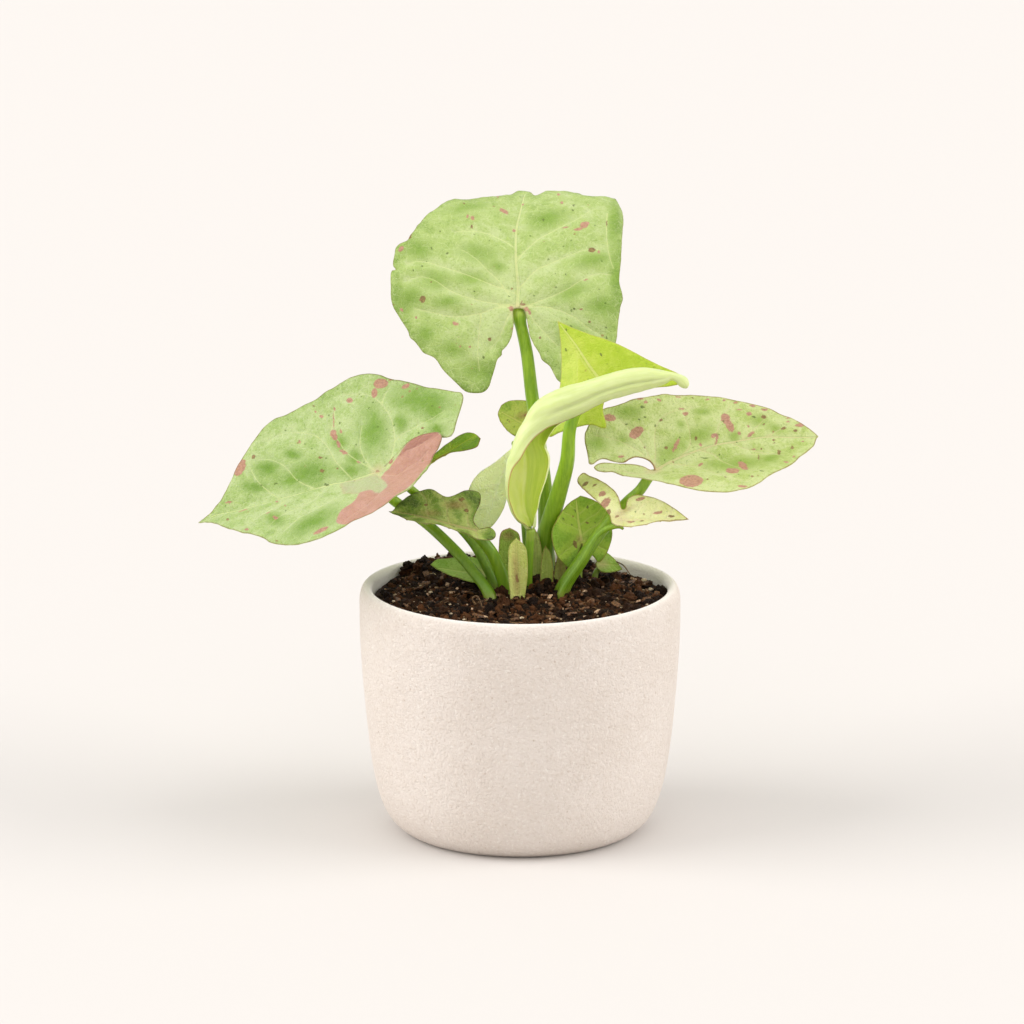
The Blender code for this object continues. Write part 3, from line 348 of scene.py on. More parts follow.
# How each leaf looks. Colours run from light to dark, and a halo lines the veins. Puff, wave
# and sag are how far the blade swells between veins, ripples at its rim and is uneven all
# over, and hem turns down the part beyond a line. Veins are lines in the flat leaf, the
# first of them its midrib. Marks and patches are (x, y, half length, half width, turn):
# pink, brown and green spots, soft stains, and patches that are only deeper in colour.
# Zones are outlined areas, lap is the slit that the upper lobe laps over, and the red
# line runs along the notch. What a leaf leaves out is worked out or takes the usual value.
SHEATH_LOOK = dict(puff=0.08, wave=0.08, step=0.5, dot_share=0.1, joint_share=0.0,
                   net_share=0.05, grain_share=0.05, vein_share=0.2, rib_share=0.2)
LOOKS = {
    "top_leaf": dict(
        light=(192, 206, 142), mid=(168, 190, 106), dark=(122, 154, 54), vein=(212, 220, 152),
        halo=(204, 216, 156), margin=(128, 116, 44), margin_share=0.55, puff=1.4, wave=0.9,
        sag=0.8, hem=(39.5, 0.9), patch=0.2, foot_pale=0.3, rim_dark=0.35, fleck_share=0.6,
        net_share=0.5, rib_share=0.65, shade=(188, 212, 130),
        veins=[
            [(1.5, 0.5), (9.5, 0), (19, 0.5), (26.5, 0.5), (37, 0), (53.5, -2.5), (70, -4.5)],
            [(22, -0.5), (27, -4), (32.5, -9), (37, -15.5), (42, -21.5), (52, -29.5)],
            [(9.5, -0.5), (16.5, -7), (20, -13), (23, -19), (26, -24.5), (27.5, -31)],
            [(1.5, -1), (3.5, -7), (5.5, -12.5), (8.5, -18.5), (13, -25), (15.5, -30),
             (15.5, -35.5)],
            [(1.5, -2.5), (1.5, -9.5), (0, -15.5), (-2.5, -21), (-6, -25.5), (-9, -30.5)],
            [(0.5, -3), (-5.5, -7), (-10, -11), (-13.5, -14.5)],
            [(27, 0.5), (31, 5.5), (34.5, 11.5), (35.5, 17.5), (35.5, 23.5)],
            [(6.5, 0), (8.5, 4.5), (10.5, 9.5), (12.5, 14.5), (14.5, 19), (16.5, 25),
             (19, 30.5), (21, 36.5), (20, 42)],
            [(2, 1), (3, 8.5), (4, 14.5), (6, 21.5), (8.5, 26.5), (12, 31), (14, 36.5),
             (12.5, 42)],
            [(1.5, 2.5), (1, 9), (-1, 14.5), (-2, 20.5), (-2, 26.5), (-0.5, 32.5), (1, 39)],
            [(-1, 14), (-8.5, 15), (-16.5, 15.5), (-23, 15)],
            [(0.5, 2), (-3.5, 4.5), (-9.5, 7), (-14.5, 10.5)],
            [(50.5, -35.5), (36, -34.5), (26, -35), (18.5, -36.5)],
            [(5.5, 3), (12, 7), (17.5, 12), (22.5, 16.5), (26, 21)],
        ],
        marks=dict(
            pink=[(47.5, 4.5, 2.2, 1.2, 40), (41.5, 16.5, 1.3, 0.7, 180),
                  (42.5, 18.5, 1.3, 0.4, 180), (36.5, 1, 0.7, 0.5, 165),
                  (55.5, -3, 1.1, 0.4, 180), (60.5, 6.5, 1.6, 0.4, 180),
                  (26.5, 44, 1.4, 0.9, 140), (0.5, 44, 0.7, 0.6, 85),
                  (-2.5, 38.5, 0.5, 0.4, 90), (-5, 24, 1.3, 0.7, 70), (-7, 2.5, 0.5, 0.3, 90),
                  (-14, 18.5, 0.5, 0.4, 90), (-14, 22, 0.4, 0.3, 180), (39, -26, 2.5, 1.6, 155),
                  (36, -23.5, 1.8, 0.8, 105), (37.5, -18.5, 1.2, 0.5, 110),
                  (26, -31, 1, 0.5, 175), (62.5, -17, 1.6, 0.6, 175), (54, -18, 1.1, 0.6, 175),
                  (12.5, -25.5, 0.8, 0.3, 115), (0.5, -23.5, 0.6, 0.4, 95),
                  (-0.5, -4, 1, 0.6, 20), (1, 3.5, 0.7, 0.3, 70), (0.9, 2.9, 1.1, 0.8, 20),
                  (0.7, -2.9, 1.1, 0.8, 160)],
            brown=[(37.5, 17, 0.7, 0.4, 175), (52.5, 19.5, 0.8, 0.4, 180),
                   (32.5, 40.5, 1.4, 0.6, 165), (4.5, 36, 1.3, 1.1, 0),
                   (-11, 11, 0.7, 0.7, 175), (-10.5, -8, 0.5, 0.5, 180),
                   (26.5, -28.5, 1.7, 1.3, 125), (43, -35, 1.9, 0.3, 175),
                   (-4.5, -26.5, 0.4, 0.4, 175), (3, -1, 0.8, 0.4, 180),
                   (11.5, 33, 0.4, 0.3, 90), (0.4, 2.6, 0.5, 0.4, 0), (2.6, -1.6, 0.5, 0.9, 0)],
            green=[(52.5, -22.5, 1, 0.4, 175), (49, -22, 0.6, 0.3, 175),
                   (41.5, -10.5, 0.6, 0.3, 180), (14, -18, 0.4, 0.4, 110),
                   (0.5, -21, 0.4, 0.4, 95), (-6.5, -33, 0.4, 0.4, 145),
                   (-10.5, -33, 0.4, 0.4, 140), (34.5, 29, 0.4, 0.2, 180),
                   (26, 32.5, 0.5, 0.2, 180), (23.5, 26.5, 0.5, 0.4, 180),
                   (18.5, 36, 0.4, 0.4, 70), (16.5, 39.5, 0.3, 0.3, 5),
                   (-18, 13.5, 0.7, 0.3, 180), (8.5, -30.5, 0.4, 0.3, 100),
                   (7.5, 16.5, 0.3, 0.3, 170)]),
        patches=[(24, 15.5, 5.6, 3.2, 75), (13, 17.5, 5.6, 2.3, 85), (12.5, 31, 5.1, 3.4, 90),
                 (21.5, -28.5, 5.9, 3, 110), (7.5, -20, 6.3, 2.7, 115),
                 (45, -37.5, 14.9, 2.1, 175), (15.5, -37, 9, 2.1, 180), (5, 41, 4.3, 4.1, 5),
                 (-23, 15, 5.6, 3.1, 80), (42, -12, 6, 4.1, 120), (49.5, 19, 6.1, 3, 115),
                 (26, 37, 3.6, 3.3, 80), (3.5, 27, 4.6, 1.6, 100), (-10, -20.5, 4.6, 4.1, 95),
                 (1.5, -31, 4.7, 3.2, 95), (-9.5, 35, 3.1, 3, 5), (-15, 25, 4.1, 2.6, 60),
                 (18, 7.5, 3.1, 1.8, 65)]),
    "left_leaf": dict(
        light=(186, 202, 140), mid=(156, 182, 98), dark=(96, 132, 38), vein=(204, 214, 148),
        halo=(200, 212, 160), margin=(122, 88, 46), puff=1.1, wave=0.5, sag=0.5, dark_share=1.0,
        patch=0.1, net_share=0.5, grain_share=0.35, shade_share=1.0, shade=(172, 202, 110),
        margin_share=0.6, fleck_share=0.6, margin_width=0.08,
        lap=[(-3, -1.5), (-8.3, -4.9), (-16.5, -9.1), (-23.3, -9.72), (-25.5, -9),
             (-27.5, -7.8), (-31, -5)],
        veins=[
            [(-0.5, 1), (6, 0.5), (13.5, 1), (21, 0.5), (29.5, 1), (40, 1.5), (51, 1.5),
             (63, 0.5), (69.5, 0), (73, 3)],
            [(0, 0), (6.5, -5.5), (12.5, -11.5), (16, -17.5), (19.5, -24.5), (19, -30),
             (19, -36)],
            [(1, -0.5), (4.5, -5.5), (7, -11.5), (7.5, -17.5), (7, -23)],
            [(-3, 1), (-4.5, -2.5), (-6, -7.5), (-6.5, -13.5), (-5, -22.5), (-1, -30.5),
             (4.5, -37), (12, -40), (19.5, -40.5)],
            [(-6.5, -12), (-9.5, -14.5), (-15, -16.5), (-21, -18.5), (-26.5, -21)],
            [(-1, -31), (-1.5, -34.5), (-3.5, -38.5)],
            [(-4, -0.5), (-9.5, -3.5), (-17, -5.5), (-25, -9), (-29, -9)],
            [(10.5, 0.5), (17.5, -9.5), (21.5, -18), (26.5, -24), (33.5, -27.5), (41, -29),
             (47, -27.5)],
            [(25, 1), (33, -5), (39, -13.5), (45.5, -18.5), (50, -20)],
            [(40, 1.5), (45.5, -4), (50.5, -10.5), (53.5, -17)],
            [(8.5, 0.5), (9.5, 10), (14, 15.5), (20, 21), (26, 25), (30, 32.5)],
            [(21, 0.5), (23, 9.5), (28.5, 15.5), (35, 19), (38.5, 26)],
            [(35.5, 1), (38, 8), (44, 13), (48, 18.5)],
            [(-2, 3.5), (-9, 7.5), (-14.5, 2), (-20.5, -3)],
            [(-1, 2.5), (-5.5, 19), (-2, 28.5), (3.5, 35)],
        ],
        marks=dict(
            pink=[(0, -41, 3.1, 2.3, 160), (2.5, -37.5, 2.1, 1.3, 95),
                  (-10.5, -36.5, 1.6, 1.1, 0), (-4, -42, 0.9, 0.3, 160),
                  (12.5, -36.5, 1.7, 1.2, 120), (26.5, -35, 0.6, 0.4, 130),
                  (24, -32, 0.9, 0.6, 135), (19, -35, 0.8, 0.4, 100), (19, -29, 3.1, 0.2, 95),
                  (18.5, -22, 2.9, 1.2, 110), (16.5, -17, 2, 0.6, 110),
                  (14, -12.5, 2.2, 0.7, 135), (8, -6.5, 0.8, 0.3, 145),
                  (15.5, -22.5, 1, 0.5, 100), (57.5, -18, 3.8, 2.2, 75),
                  (62, -3.5, 1.4, 0.4, 170), (54.5, 4.5, 1.9, 1.1, 175),
                  (47, 24.5, 1.5, 0.5, 145), (41, 14.5, 1.2, 0.8, 130),
                  (36.5, 20, 1.7, 0.7, 135), (40, 5.5, 1, 0.4, 125), (34.5, 12, 0.9, 0.4, 120),
                  (12.5, 41.5, 3, 1.6, 35), (32.5, -22.5, 1, 0.4, 100),
                  (-5.5, -2.5, 1.2, 0.8, 70)],
            brown=[(0, 0, 1, 0.6, 135), (52, -21.5, 1, 0.7, 90), (23.5, -12.5, 0.9, 0.5, 155),
                   (22.5, -6, 1.1, 0.6, 140), (16.5, -5.5, 0.6, 0.4, 110),
                   (59, 10.5, 1.3, 0.5, 120), (30.5, 40.5, 0.9, 0.4, 135),
                   (-18, -15, 0.7, 0.5, 150), (27.5, -38, 0.5, 0.3, 120)],
            green=[(16, -26.5, 0.6, 0.4, 120), (21, 0, 1, 0.5, 160), (42, -6, 0.8, 0.3, 160),
                   (48.5, -7.5, 0.4, 0.3, 125), (-16.5, -13, 0.4, 0.3, 120),
                   (4, -30, 0.3, 0.2, 120), (8, -37.5, 0.3, 0.2, 120)]),
        patches=[(29.5, -7, 10.1, 4.7, 175), (35, -6, 4.9, 2.9, 165), (2, -19.5, 8.9, 5.3, 95),
                 (-16, -28, 12.7, 5, 150), (-21.5, -23, 5.7, 3.9, 110),
                 (17.5, 32.5, 8, 6.9, 35), (46, -14.5, 4.8, 3.6, 165),
                 (11.5, -3.5, 5.8, 2.9, 170), (51, -7.5, 4.6, 2.2, 160),
                 (-9, -20, 3.8, 2.5, 105), (16, -17.5, 4, 2.9, 120), (9.5, -8.5, 3.8, 2.9, 120),
                 (-23.5, -13, 3.3, 2.2, 155), (35, -17, 3.5, 1.7, 155),
                 (36, 21.5, 5.8, 2.5, 125)],
        zones=dict(
            pink=[(7.5, 37), (7, 30), (3, 25), (2, 17.5), (-1.5, 17), (-5.5, 19), (-7.5, 16),
                  (-3, 6.5), (-3.5, 3), (-6, -1), (-12.5, -6.5), (-17.5, -9.5), (-23, -10),
                  (-26.5, -5.5), (-24, -2), (-22, 5.5), (-19.5, 17.5), (-14.5, 26.5), (-9, 34),
                  (-2.5, 38), (2.5, 40.5)],
            cream=[(13.5, 3.5), (12, 1), (5, 5), (0, 4), (-5, 10), (-8, 17), (-4.5, 20),
                   (-1, 16.5), (3, 18), (9.5, 13.5), (12, 8)],
            # Painted shade: a darker pink band along the fold by the lapping edge.
            painted_fold_shade=[(-8.5, -3), (-12.5, -7), (-17.5, -9.5), (-23, -10), (-25, -8), (-20.5, -7),
                  (-14.5, -5)])),
    "right_leaf": dict(
        light=(202, 212, 146), mid=(172, 192, 100), dark=(106, 144, 38), vein=(206, 202, 144),
        halo=(210, 216, 158), margin=(132, 92, 42), puff=1.0, wave=0.4, sag=0.3, patch=0.15,
        rim_dark=-0.15, shade=(186, 210, 122), fleck_share=0.6, net_share=0.5,
        margin_width=0.12, margin_share=0.65, rib=0.85,
        red_line=[(-9.5, 5.4), (-7.5, 6.1), (-5, 6.6), (-2, 5.6), (0, 4), (0.9, 1.6), (0.7, 0)],
        veins=[
            [(0.5, -0.5), (6, 2), (13, 4), (20, 5.5), (27.5, 6.5), (36.5, 6.5), (46.5, 6.5),
             (55.5, 5), (67, 3)],
            [(0.5, 0), (3.5, 7.5), (5, 13), (7.5, 19), (11.5, 22.5), (17, 24), (23.5, 24.5)],
            [(0, 1), (0.5, 7), (0, 12), (-2, 17), (-5.5, 24.5)],
            [(0, 1.5), (-1.5, 7.5), (-6, 13), (-12, 17.5), (-17, 19.5)],
            [(10, 3), (17, 7.5), (19, 13), (19.5, 19), (19.5, 24)],
            [(26.5, 6.5), (29.5, 12), (33, 17), (38, 22)],
            [(36.5, 6.5), (41.5, 9), (47, 12.5), (52, 16)],
            [(46.5, 6.5), (52, 8), (58.5, 10.5)],
            [(6, 2), (14, -0.5), (18.5, -8.5), (23, -16.5), (28, -24.5)],
            [(20, 5.5), (25.5, 2), (29.5, -9), (35, -15)],
            [(33, 6.5), (38.5, 2.5), (45.5, -1), (50.5, -5.5)],
            [(-1, -2), (-8, 0.5), (-14.5, 3.5), (-19.5, 5)],
        ],
        marks=dict(
            pink=[(-9, 25.5, 2.3, 1.7, 175), (-1, 17.5, 2.8, 2, 25), (-2.5, 16.5, 1.8, 1.5, 60),
                  (20, 22, 1.2, 0.9, 5), (34.5, 17, 2.5, 1.7, 75), (35, 13, 2.6, 1.4, 85),
                  (28, 10.5, 1.5, 0.8, 15), (28.5, 9, 2.3, 0.4, 60), (8.5, -17.5, 5.2, 4.4, 75),
                  (26.5, -13.5, 2.7, 2.5, 80), (32, -10, 3.9, 1.4, 85), (12, 9, 3.3, 0.7, 50),
                  (21.5, 7.5, 0.7, 0.5, 60), (18, -2.5, 1.4, 0.7, 40), (42, 8.5, 1.9, 0.7, 30),
                  (37.5, 9.5, 0.8, 0.6, 35), (44, 17, 1.1, 0.8, 0), (46.5, 20.5, 1.1, 0.6, 160),
                  (50.5, 18, 1.4, 0.5, 170), (40.5, 23, 1, 0.4, 170),
                  (30.5, 26.5, 0.8, 0.3, 170), (36.5, 25, 0.6, 0.4, 180),
                  (19.5, 29.5, 0.9, 0.3, 170), (6.5, 29.5, 0.8, 0.7, 55),
                  (5, 31.5, 1.3, 0.4, 0), (12, 29.5, 1, 0.5, 135), (62, 9, 1.8, 0.8, 175),
                  (58.5, 13, 0.8, 0.3, 170), (58, 11.5, 0.6, 0.3, 175), (42, 12, 0.5, 0.4, 5),
                  (61, 2, 0.5, 0.4, 15), (41, 2, 0.7, 0.3, 170), (47.5, -14.5, 0.9, 0.8, 155),
                  (52.5, -10, 1, 0.5, 70), (24.5, -28.5, 1.7, 0.8, 160),
                  (-10, 8, 1.1, 0.4, 170), (41, 19.5, 1.2, 0.3, 170), (19.5, 24.5, 1, 0.3, 170)],
            brown=[(20.5, 10.5, 1, 0.5, 70), (8, 8.5, 0.7, 0.6, 55), (10, 21, 0.6, 0.4, 20),
                   (49.5, 15, 1, 0.8, 5), (48.5, 12, 0.5, 0.4, 55), (25, 28, 0.4, 0.3, 30),
                   (55.5, 9, 1.1, 0.5, 15), (59.5, 7, 0.8, 0.5, 5), (50, 4.5, 0.6, 0.4, 175),
                   (49.5, 3, 0.4, 0.3, 10), (49.5, -2.5, 2, 0.6, 70), (55.5, -1, 1.8, 0.5, 70),
                   (44, 1.5, 0.4, 0.4, 40), (40.5, -4.5, 3, 0.2, 70), (22, -17.5, 0.8, 0.4, 70),
                   (14.5, -18.5, 0.8, 0.4, 70), (31, -21.5, 0.8, 0.4, 70),
                   (0, 10.5, 0.4, 0.4, 10)],
            green=[(14.5, 12, 0.4, 0.2, 70), (21, 1.5, 1.8, 0.3, 170),
                   (45.5, 15.5, 0.8, 0.4, 170), (4.5, 27.5, 0.8, 0.6, 175),
                   (27, 2, 0.4, 0.3, 15), (36, -18.5, 1.2, 0.5, 105), (1.5, 22.5, 0.4, 0.4, 35),
                   (4, 23, 0.5, 0.4, 175), (-3.5, 22, 0.5, 0.3, 170), (7, 19, 0.5, 0.3, 70)]),
        patches=[(10.5, 7.5, 7.1, 3, 30), (5.5, 4, 2.6, 1.9, 40), (22.5, 12, 5.8, 2.8, 10),
                 (30.5, -7.5, 10.3, 5.2, 170), (44, -8, 5.5, 2.4, 35), (-17, 16, 3.5, 3.3, 105),
                 (-7.5, 15.5, 2.6, 2.2, 5), (-2, 27, 4.4, 2.3, 170), (35.5, 9, 2, 1.8, 25),
                 (47, 14, 3, 2.2, 0), (52.5, 9, 3.1, 1.5, 155), (17, 17.5, 1.9, 1.6, 55),
                 (26.5, 21.5, 2.9, 1.5, 170)]),
    "yellow_leaf": dict(
        light=(202, 218, 82), mid=(184, 208, 54), dark=(150, 186, 30), vein=(220, 226, 136),
        halo=(206, 220, 100), margin=(186, 180, 92), puff=0.3, wave=0.25, step=0.8,
        dot_share=0.3, joint_share=0.0, net_share=0.12, grain_share=0.08, fleck_share=0.15,
        patch=0.2, vein_share=0.25, rib_share=0.75,
        veins=[
            [(0, 0), (9, 0.2), (18, -0.2), (29, 0)],
            [(0, 0.9), (9, 1.3), (18, 1), (27, 0.3)],
            [(17, 0.6), (8, 7), (-4, 15.8)],
            [(1, -1), (-6, -10), (-12, -19)],
        ],
        marks=dict(
            brown=[(-2, 16, 0.7, 0.5, 0)],
            green=[(26, -0.6, 0.5, 0.5, 0), (10, -6, 0.6, 0.5, 0), (20, 4, 0.5, 0.4, 0)]),
        zones=dict(
            # Painted light: the facet beyond the crease is made paler, standing in for light
            # falling on it.
            painted_lit_facet=[(29, 0.8), (17, 0.6), (8, 7), (-3, 15.2), (-5, 20), (0, 30), (12, 16),
                   (24, 5)])),
    # Painted light: the drooping leaf's pale yellow-green is pushed much paler, standing in for
    # light that its turned blade does not get.
    "drooping_leaf": dict(
        light=(238, 255, 190), mid=(230, 250, 174), dark=(208, 240, 140), vein=(240, 255, 194),
        halo=(240, 255, 194), margin=(206, 200, 130), puff=0.25, wave=0.4, step=0.8,
        dot_share=0.3, joint_share=0.0, net_share=0.1, grain_share=0.1, fleck_share=0.15,
        vein_share=0.25, rib_share=0.4, under=(238, 255, 190), glow=0.6),
    "dark_leaf": dict(
        light=(184, 198, 108), mid=(120, 150, 52), dark=(56, 84, 18), vein=(196, 176, 124),
        halo=(180, 186, 112), margin=(110, 84, 44), under=(198, 204, 128), puff=0.7, wave=0.7,
        step=0.8, joint_share=0.1, patch=0.5, dark_share=1.0, vein_share=0.3, rib_share=0.45,
        rough=0.35,
        marks=dict(
            brown=[(10, -11, 1.2, 0.8, 20), (6.5, -7, 1, 0.7, 30), (22, -5, 0.8, 0.5, 30)],
            green=[(8, 2, 0.5, 0.5, 0), (15, 3, 0.6, 0.5, 0), (27, 1, 0.5, 0.4, 0)],
            stain=[(11, -8, 3.6, 1.6, 15), (19, -2, 2.4, 0.7, 10)])),
    "folded_leaf": dict(
        light=(238, 240, 178), mid=(222, 228, 146), dark=(188, 204, 100), vein=(238, 234, 176),
        halo=(240, 238, 184), margin=(160, 118, 66), puff=0.4, wave=0.5, step=0.6,
        dot_share=0.6, joint_share=0.3, patch=0.3, vein_share=0.4,
        marks=dict(
            pink=[(-4.2, 12.5, 1.1, 0.9, 70), (-4, 8, 2.4, 1.3, 65), (4, -1, 1.5, 0.6, 5),
                  (7.5, 9, 1.8, 0.7, 20), (14, 3, 1.6, 0.7, 10)],
            brown=[(-7.2, 20, 0.9, 0.7, 80), (-5.5, 17.5, 0.6, 0.5, 70),
                   (-3.5, 4, 1.1, 0.6, 80), (-1, 1.5, 0.7, 0.5, 20), (8, -0.5, 0.8, 0.4, 5),
                   (19, 1.5, 1.0, 0.5, 5)],
            stain=[(2, 4, 2.2, 0.7, 30)])),
    "round_leaf": dict(
        light=(178, 208, 74), mid=(140, 182, 50), dark=(98, 142, 26), vein=(212, 222, 120),
        halo=(180, 208, 84), margin=(150, 120, 60), under=(188, 208, 84), puff=0.8, wave=0.4,
        step=0.7, joint_share=0.1, patch=0.4, dark_share=1.0, vein_share=0.4, rib_share=0.85,
        marks=dict(
            brown=[(-1.5, 3, 1.5, 0.9, 20), (6, -3, 0.6, 0.4, 50), (1, -6, 0.6, 0.4, 30)],
            green=[(11, 1, 0.5, 0.4, 0), (8, 7, 0.5, 0.4, 0), (12, -4, 0.5, 0.4, 0)],
            stain=[(0, 1, 1, 0.8, 0)])),
    "back_leaf": dict(
        light=(182, 196, 84), mid=(138, 168, 50), dark=(90, 126, 28), vein=(196, 200, 100),
        halo=(180, 192, 84), margin=(136, 104, 50), puff=0.4, wave=0.3, step=0.8,
        dark_share=1.0, vein_share=0.3,
        marks=dict(
            brown=[(5, -3.5, 1, 0.6, 40)],
            green=[(10, 2, 0.5, 0.4, 0)],
            stain=[(6, -3, 2.2, 1.3, 40)])),
    "young_leaf": dict(
        light=(166, 194, 50), mid=(130, 170, 32), dark=(96, 142, 18), vein=(174, 190, 58),
        halo=(166, 192, 52), margin=(140, 82, 48), puff=0.35, wave=0.3, step=0.8, dot_share=0.3,
        vein_share=0.3),
    "low_left_leaf": dict(
        light=(176, 208, 102), mid=(140, 184, 66), dark=(100, 148, 40), vein=(196, 216, 122),
        halo=(178, 208, 104), margin=(130, 128, 56), puff=0.3, wave=0.3, step=0.8,
        dot_share=0.3, vein_share=0.3),
    "low_right_leaf": dict(
        light=(156, 190, 76), mid=(124, 166, 50), dark=(92, 134, 30), vein=(176, 196, 96),
        halo=(156, 188, 78), margin=(120, 110, 46), puff=0.3, wave=0.3, step=0.7, vein_share=0.3),
    "front_sheath": dict(
        SHEATH_LOOK, light=(200, 206, 118), mid=(180, 194, 90), dark=(146, 168, 56),
        vein=(200, 196, 106), halo=(202, 206, 118), margin=(150, 112, 60), puff=0.1, wave=0.15,
        step=0.6, dot_share=0.2, margin_share=0.35,
        marks=dict(
            brown=[(8, 0, 1.6, 0.5, 5)],
            stain=[(9.5, 0.6, 4.6, 0.7, 3), (14, 0.9, 1.8, 0.8, 10)])),
    "green_sheath": dict(
        SHEATH_LOOK, light=(160, 188, 76), mid=(130, 166, 50), dark=(98, 134, 32),
        vein=(168, 186, 84), halo=(160, 186, 78), margin=(176, 116, 84), puff=0.12, wave=0.15,
        step=0.6, dot_share=0.1, margin_share=0.9,
        marks=dict(
            stain=[(17.5, 0.5, 2.2, 1.4, 90)])),
    "wing_sheath": dict(
        SHEATH_LOOK, light=(184, 200, 104), mid=(160, 186, 76), dark=(128, 160, 48),
        vein=(192, 202, 112), halo=(184, 200, 106), margin=(170, 150, 90), dot_share=0.0),
    "outer_sheath": dict(
        SHEATH_LOOK, light=(170, 188, 88), mid=(146, 172, 62), dark=(116, 146, 40),
        vein=(178, 188, 98), halo=(170, 186, 90), margin=(160, 130, 74)),
    "inner_sheath": dict(
        SHEATH_LOOK, light=(176, 186, 96), mid=(152, 170, 70), dark=(122, 144, 46),
        vein=(184, 186, 104), halo=(176, 184, 96), margin=(150, 110, 66),
        marks=dict(
            stain=[(6, 0, 2.4, 0.5, 0)])),
}


def rgb(red, green, blue):
    """Screen colour from 0 to 255 as the linear colour that a shader takes."""
    values = []
    for value in (red, green, blue):
        value /= 255
        values.append(value / 12.92 if value <= 0.04045 else ((value + 0.055) / 1.055) ** 2.4)
    return (*values, 1)


class Shader:
    """A material and short ways to add its nodes."""

    def __init__(self, name):
        self.material = bpy.data.materials.new(name)
        self.material.use_nodes = True
        self.tree = self.material.node_tree
        self.surface = self.tree.nodes["Principled BSDF"]

    def put(self, socket, value):
        if isinstance(value, bpy.types.NodeSocket):
            self.tree.links.new(value, socket)
        else:
            socket.default_value = value

    def node(self, kind, inputs=None, **settings):
        made = self.tree.nodes.new("ShaderNode" + kind)
        for key, value in settings.items():
            setattr(made, key, value)
        for key, value in (inputs or {}).items():
            self.put(made.inputs[key], value)
        return made

    def value(self, name):
        return self.node("Attribute", attribute_name=name).outputs["Fac"]

    def vector(self, name):
        return self.node("Attribute", attribute_name=name).outputs["Vector"]

    def place(self, *scale):
        """Where a point is, in millimetres, or in metres times the given scale."""
        metres = self.node("TexCoord").outputs["Object"]
        return self.scaled(metres, *(scale or [MM_PER_METRE] * 3))

    def part(self, vector, index):
        return self.node("SeparateXYZ", {0: vector}).outputs[index]

    def sum(self, kind, first, second=0.0, third=0.0):
        return self.node("Math", {0: first, 1: second, 2: third}, operation=kind).outputs[0]

    def ramp(self, value, low, high, start=0.0, end=1.0):
        """A smooth step of value from start at low to end at high."""
        return self.node("MapRange", {"Value": value, 1: low, 2: high, 3: start, 4: end},
                         interpolation_type="SMOOTHSTEP").outputs[0]

    def mix(self, share, first, second, kind="MIX"):
        made = self.node("Mix", data_type="RGBA", blend_type=kind)
        for index, value in ((0, share), (6, first), (7, second)):
            self.put(made.inputs[index], value)
        return made.outputs[2]

    def tint(self, colour, value, low, high, share, tone, kind="MIX"):
        """The colour mixed with a tone, from none at low to the given share at high."""
        return self.mix(self.ramp(value, low, high, 0, share), colour, tone, kind)

    def scaled(self, vector, *scale):
        return self.node("VectorMath", {0: vector, 1: scale}, operation="MULTIPLY").outputs[0]

    def noise(self, vector, scale, detail=3.0, rough=0.5, twist=0.0):
        return self.node("TexNoise", {"Vector": vector, "Scale": scale, "Detail": detail,
                                      "Roughness": rough, "Distortion": twist}).outputs[0]

    def cells(self, vector, scale, feature="F1"):
        return self.node("TexVoronoi", {"Vector": vector, "Scale": scale},
                         feature=feature).outputs["Distance"]

    def dots(self, vector, scale, chance, size):
        """Round dots in some cells of a net, and each cell's own random values."""
        net = self.node("TexVoronoi", {"Vector": vector, "Scale": scale})
        own = self.node("SeparateColor", {0: net.outputs["Color"]}).outputs
        reach = self.ramp(own[0], chance, 1, 0, size)
        return self.sum("LESS_THAN", net.outputs["Distance"], reach), own

    def bump(self, height, strength, distance):
        return self.node("Bump", {"Height": height, "Strength": strength,
                                  "Distance": distance}).outputs[0]

    def set(self, **inputs):
        for key, value in inputs.items():
            self.put(self.surface.inputs[key.replace("_", " ")], value)


def piece(name, mesh, material, slot, *nodes, smooth=True):
    """A finished piece that rides on the plant and stands for the given solids."""
    mesh.materials.append(material)
    if smooth:
        mesh.shade_smooth()
    thing = bpy.data.objects.new(name, mesh)
    bpy.context.scene.collection.objects.link(thing)
    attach(thing, "root")
    if nodes:
        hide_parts(*nodes)
    return thing


def make_mesh(name, points, faces, values=None):
    """A mesh in metres from points in millimetres, with a value per point by name."""
    mesh = bpy.data.meshes.new(name)
    mesh.from_pydata((np.asarray(points) * MM).tolist(), [], faces)
    mesh.update()
    for key, data in (values or {}).items():
        data = np.asarray(data, np.float32)
        kind, field = ("FLOAT_VECTOR", "vector") if data.ndim == 2 else ("FLOAT", "value")
        mesh.attributes.new(key, kind, "POINT").data.foreach_set(field, data.ravel())
    return mesh


class Heap:
    """Many small closed shapes gathered into one mesh, each with a tone of its own."""

    def __init__(self):
        self.points, self.faces, self.tones = [], [], []

    def add(self, points, faces, tone=0.0):
        start = len(self.tones)
        self.points.append(points)
        self.faces += [tuple(start + corner for corner in face) for face in faces]
        self.tones += [tone] * len(points)

    def mesh(self, name, toned=False):
        return make_mesh(name, np.vstack(self.points), self.faces,
                         {"tone": self.tones} if toned else None)


def noise_at(points, scale, seed=0.0):
    """Smooth noise from about -1 to 1 at each point."""
    return np.array([noise.noise(Vector(point) / scale + Vector((seed, seed, seed)))
                     for point in points])


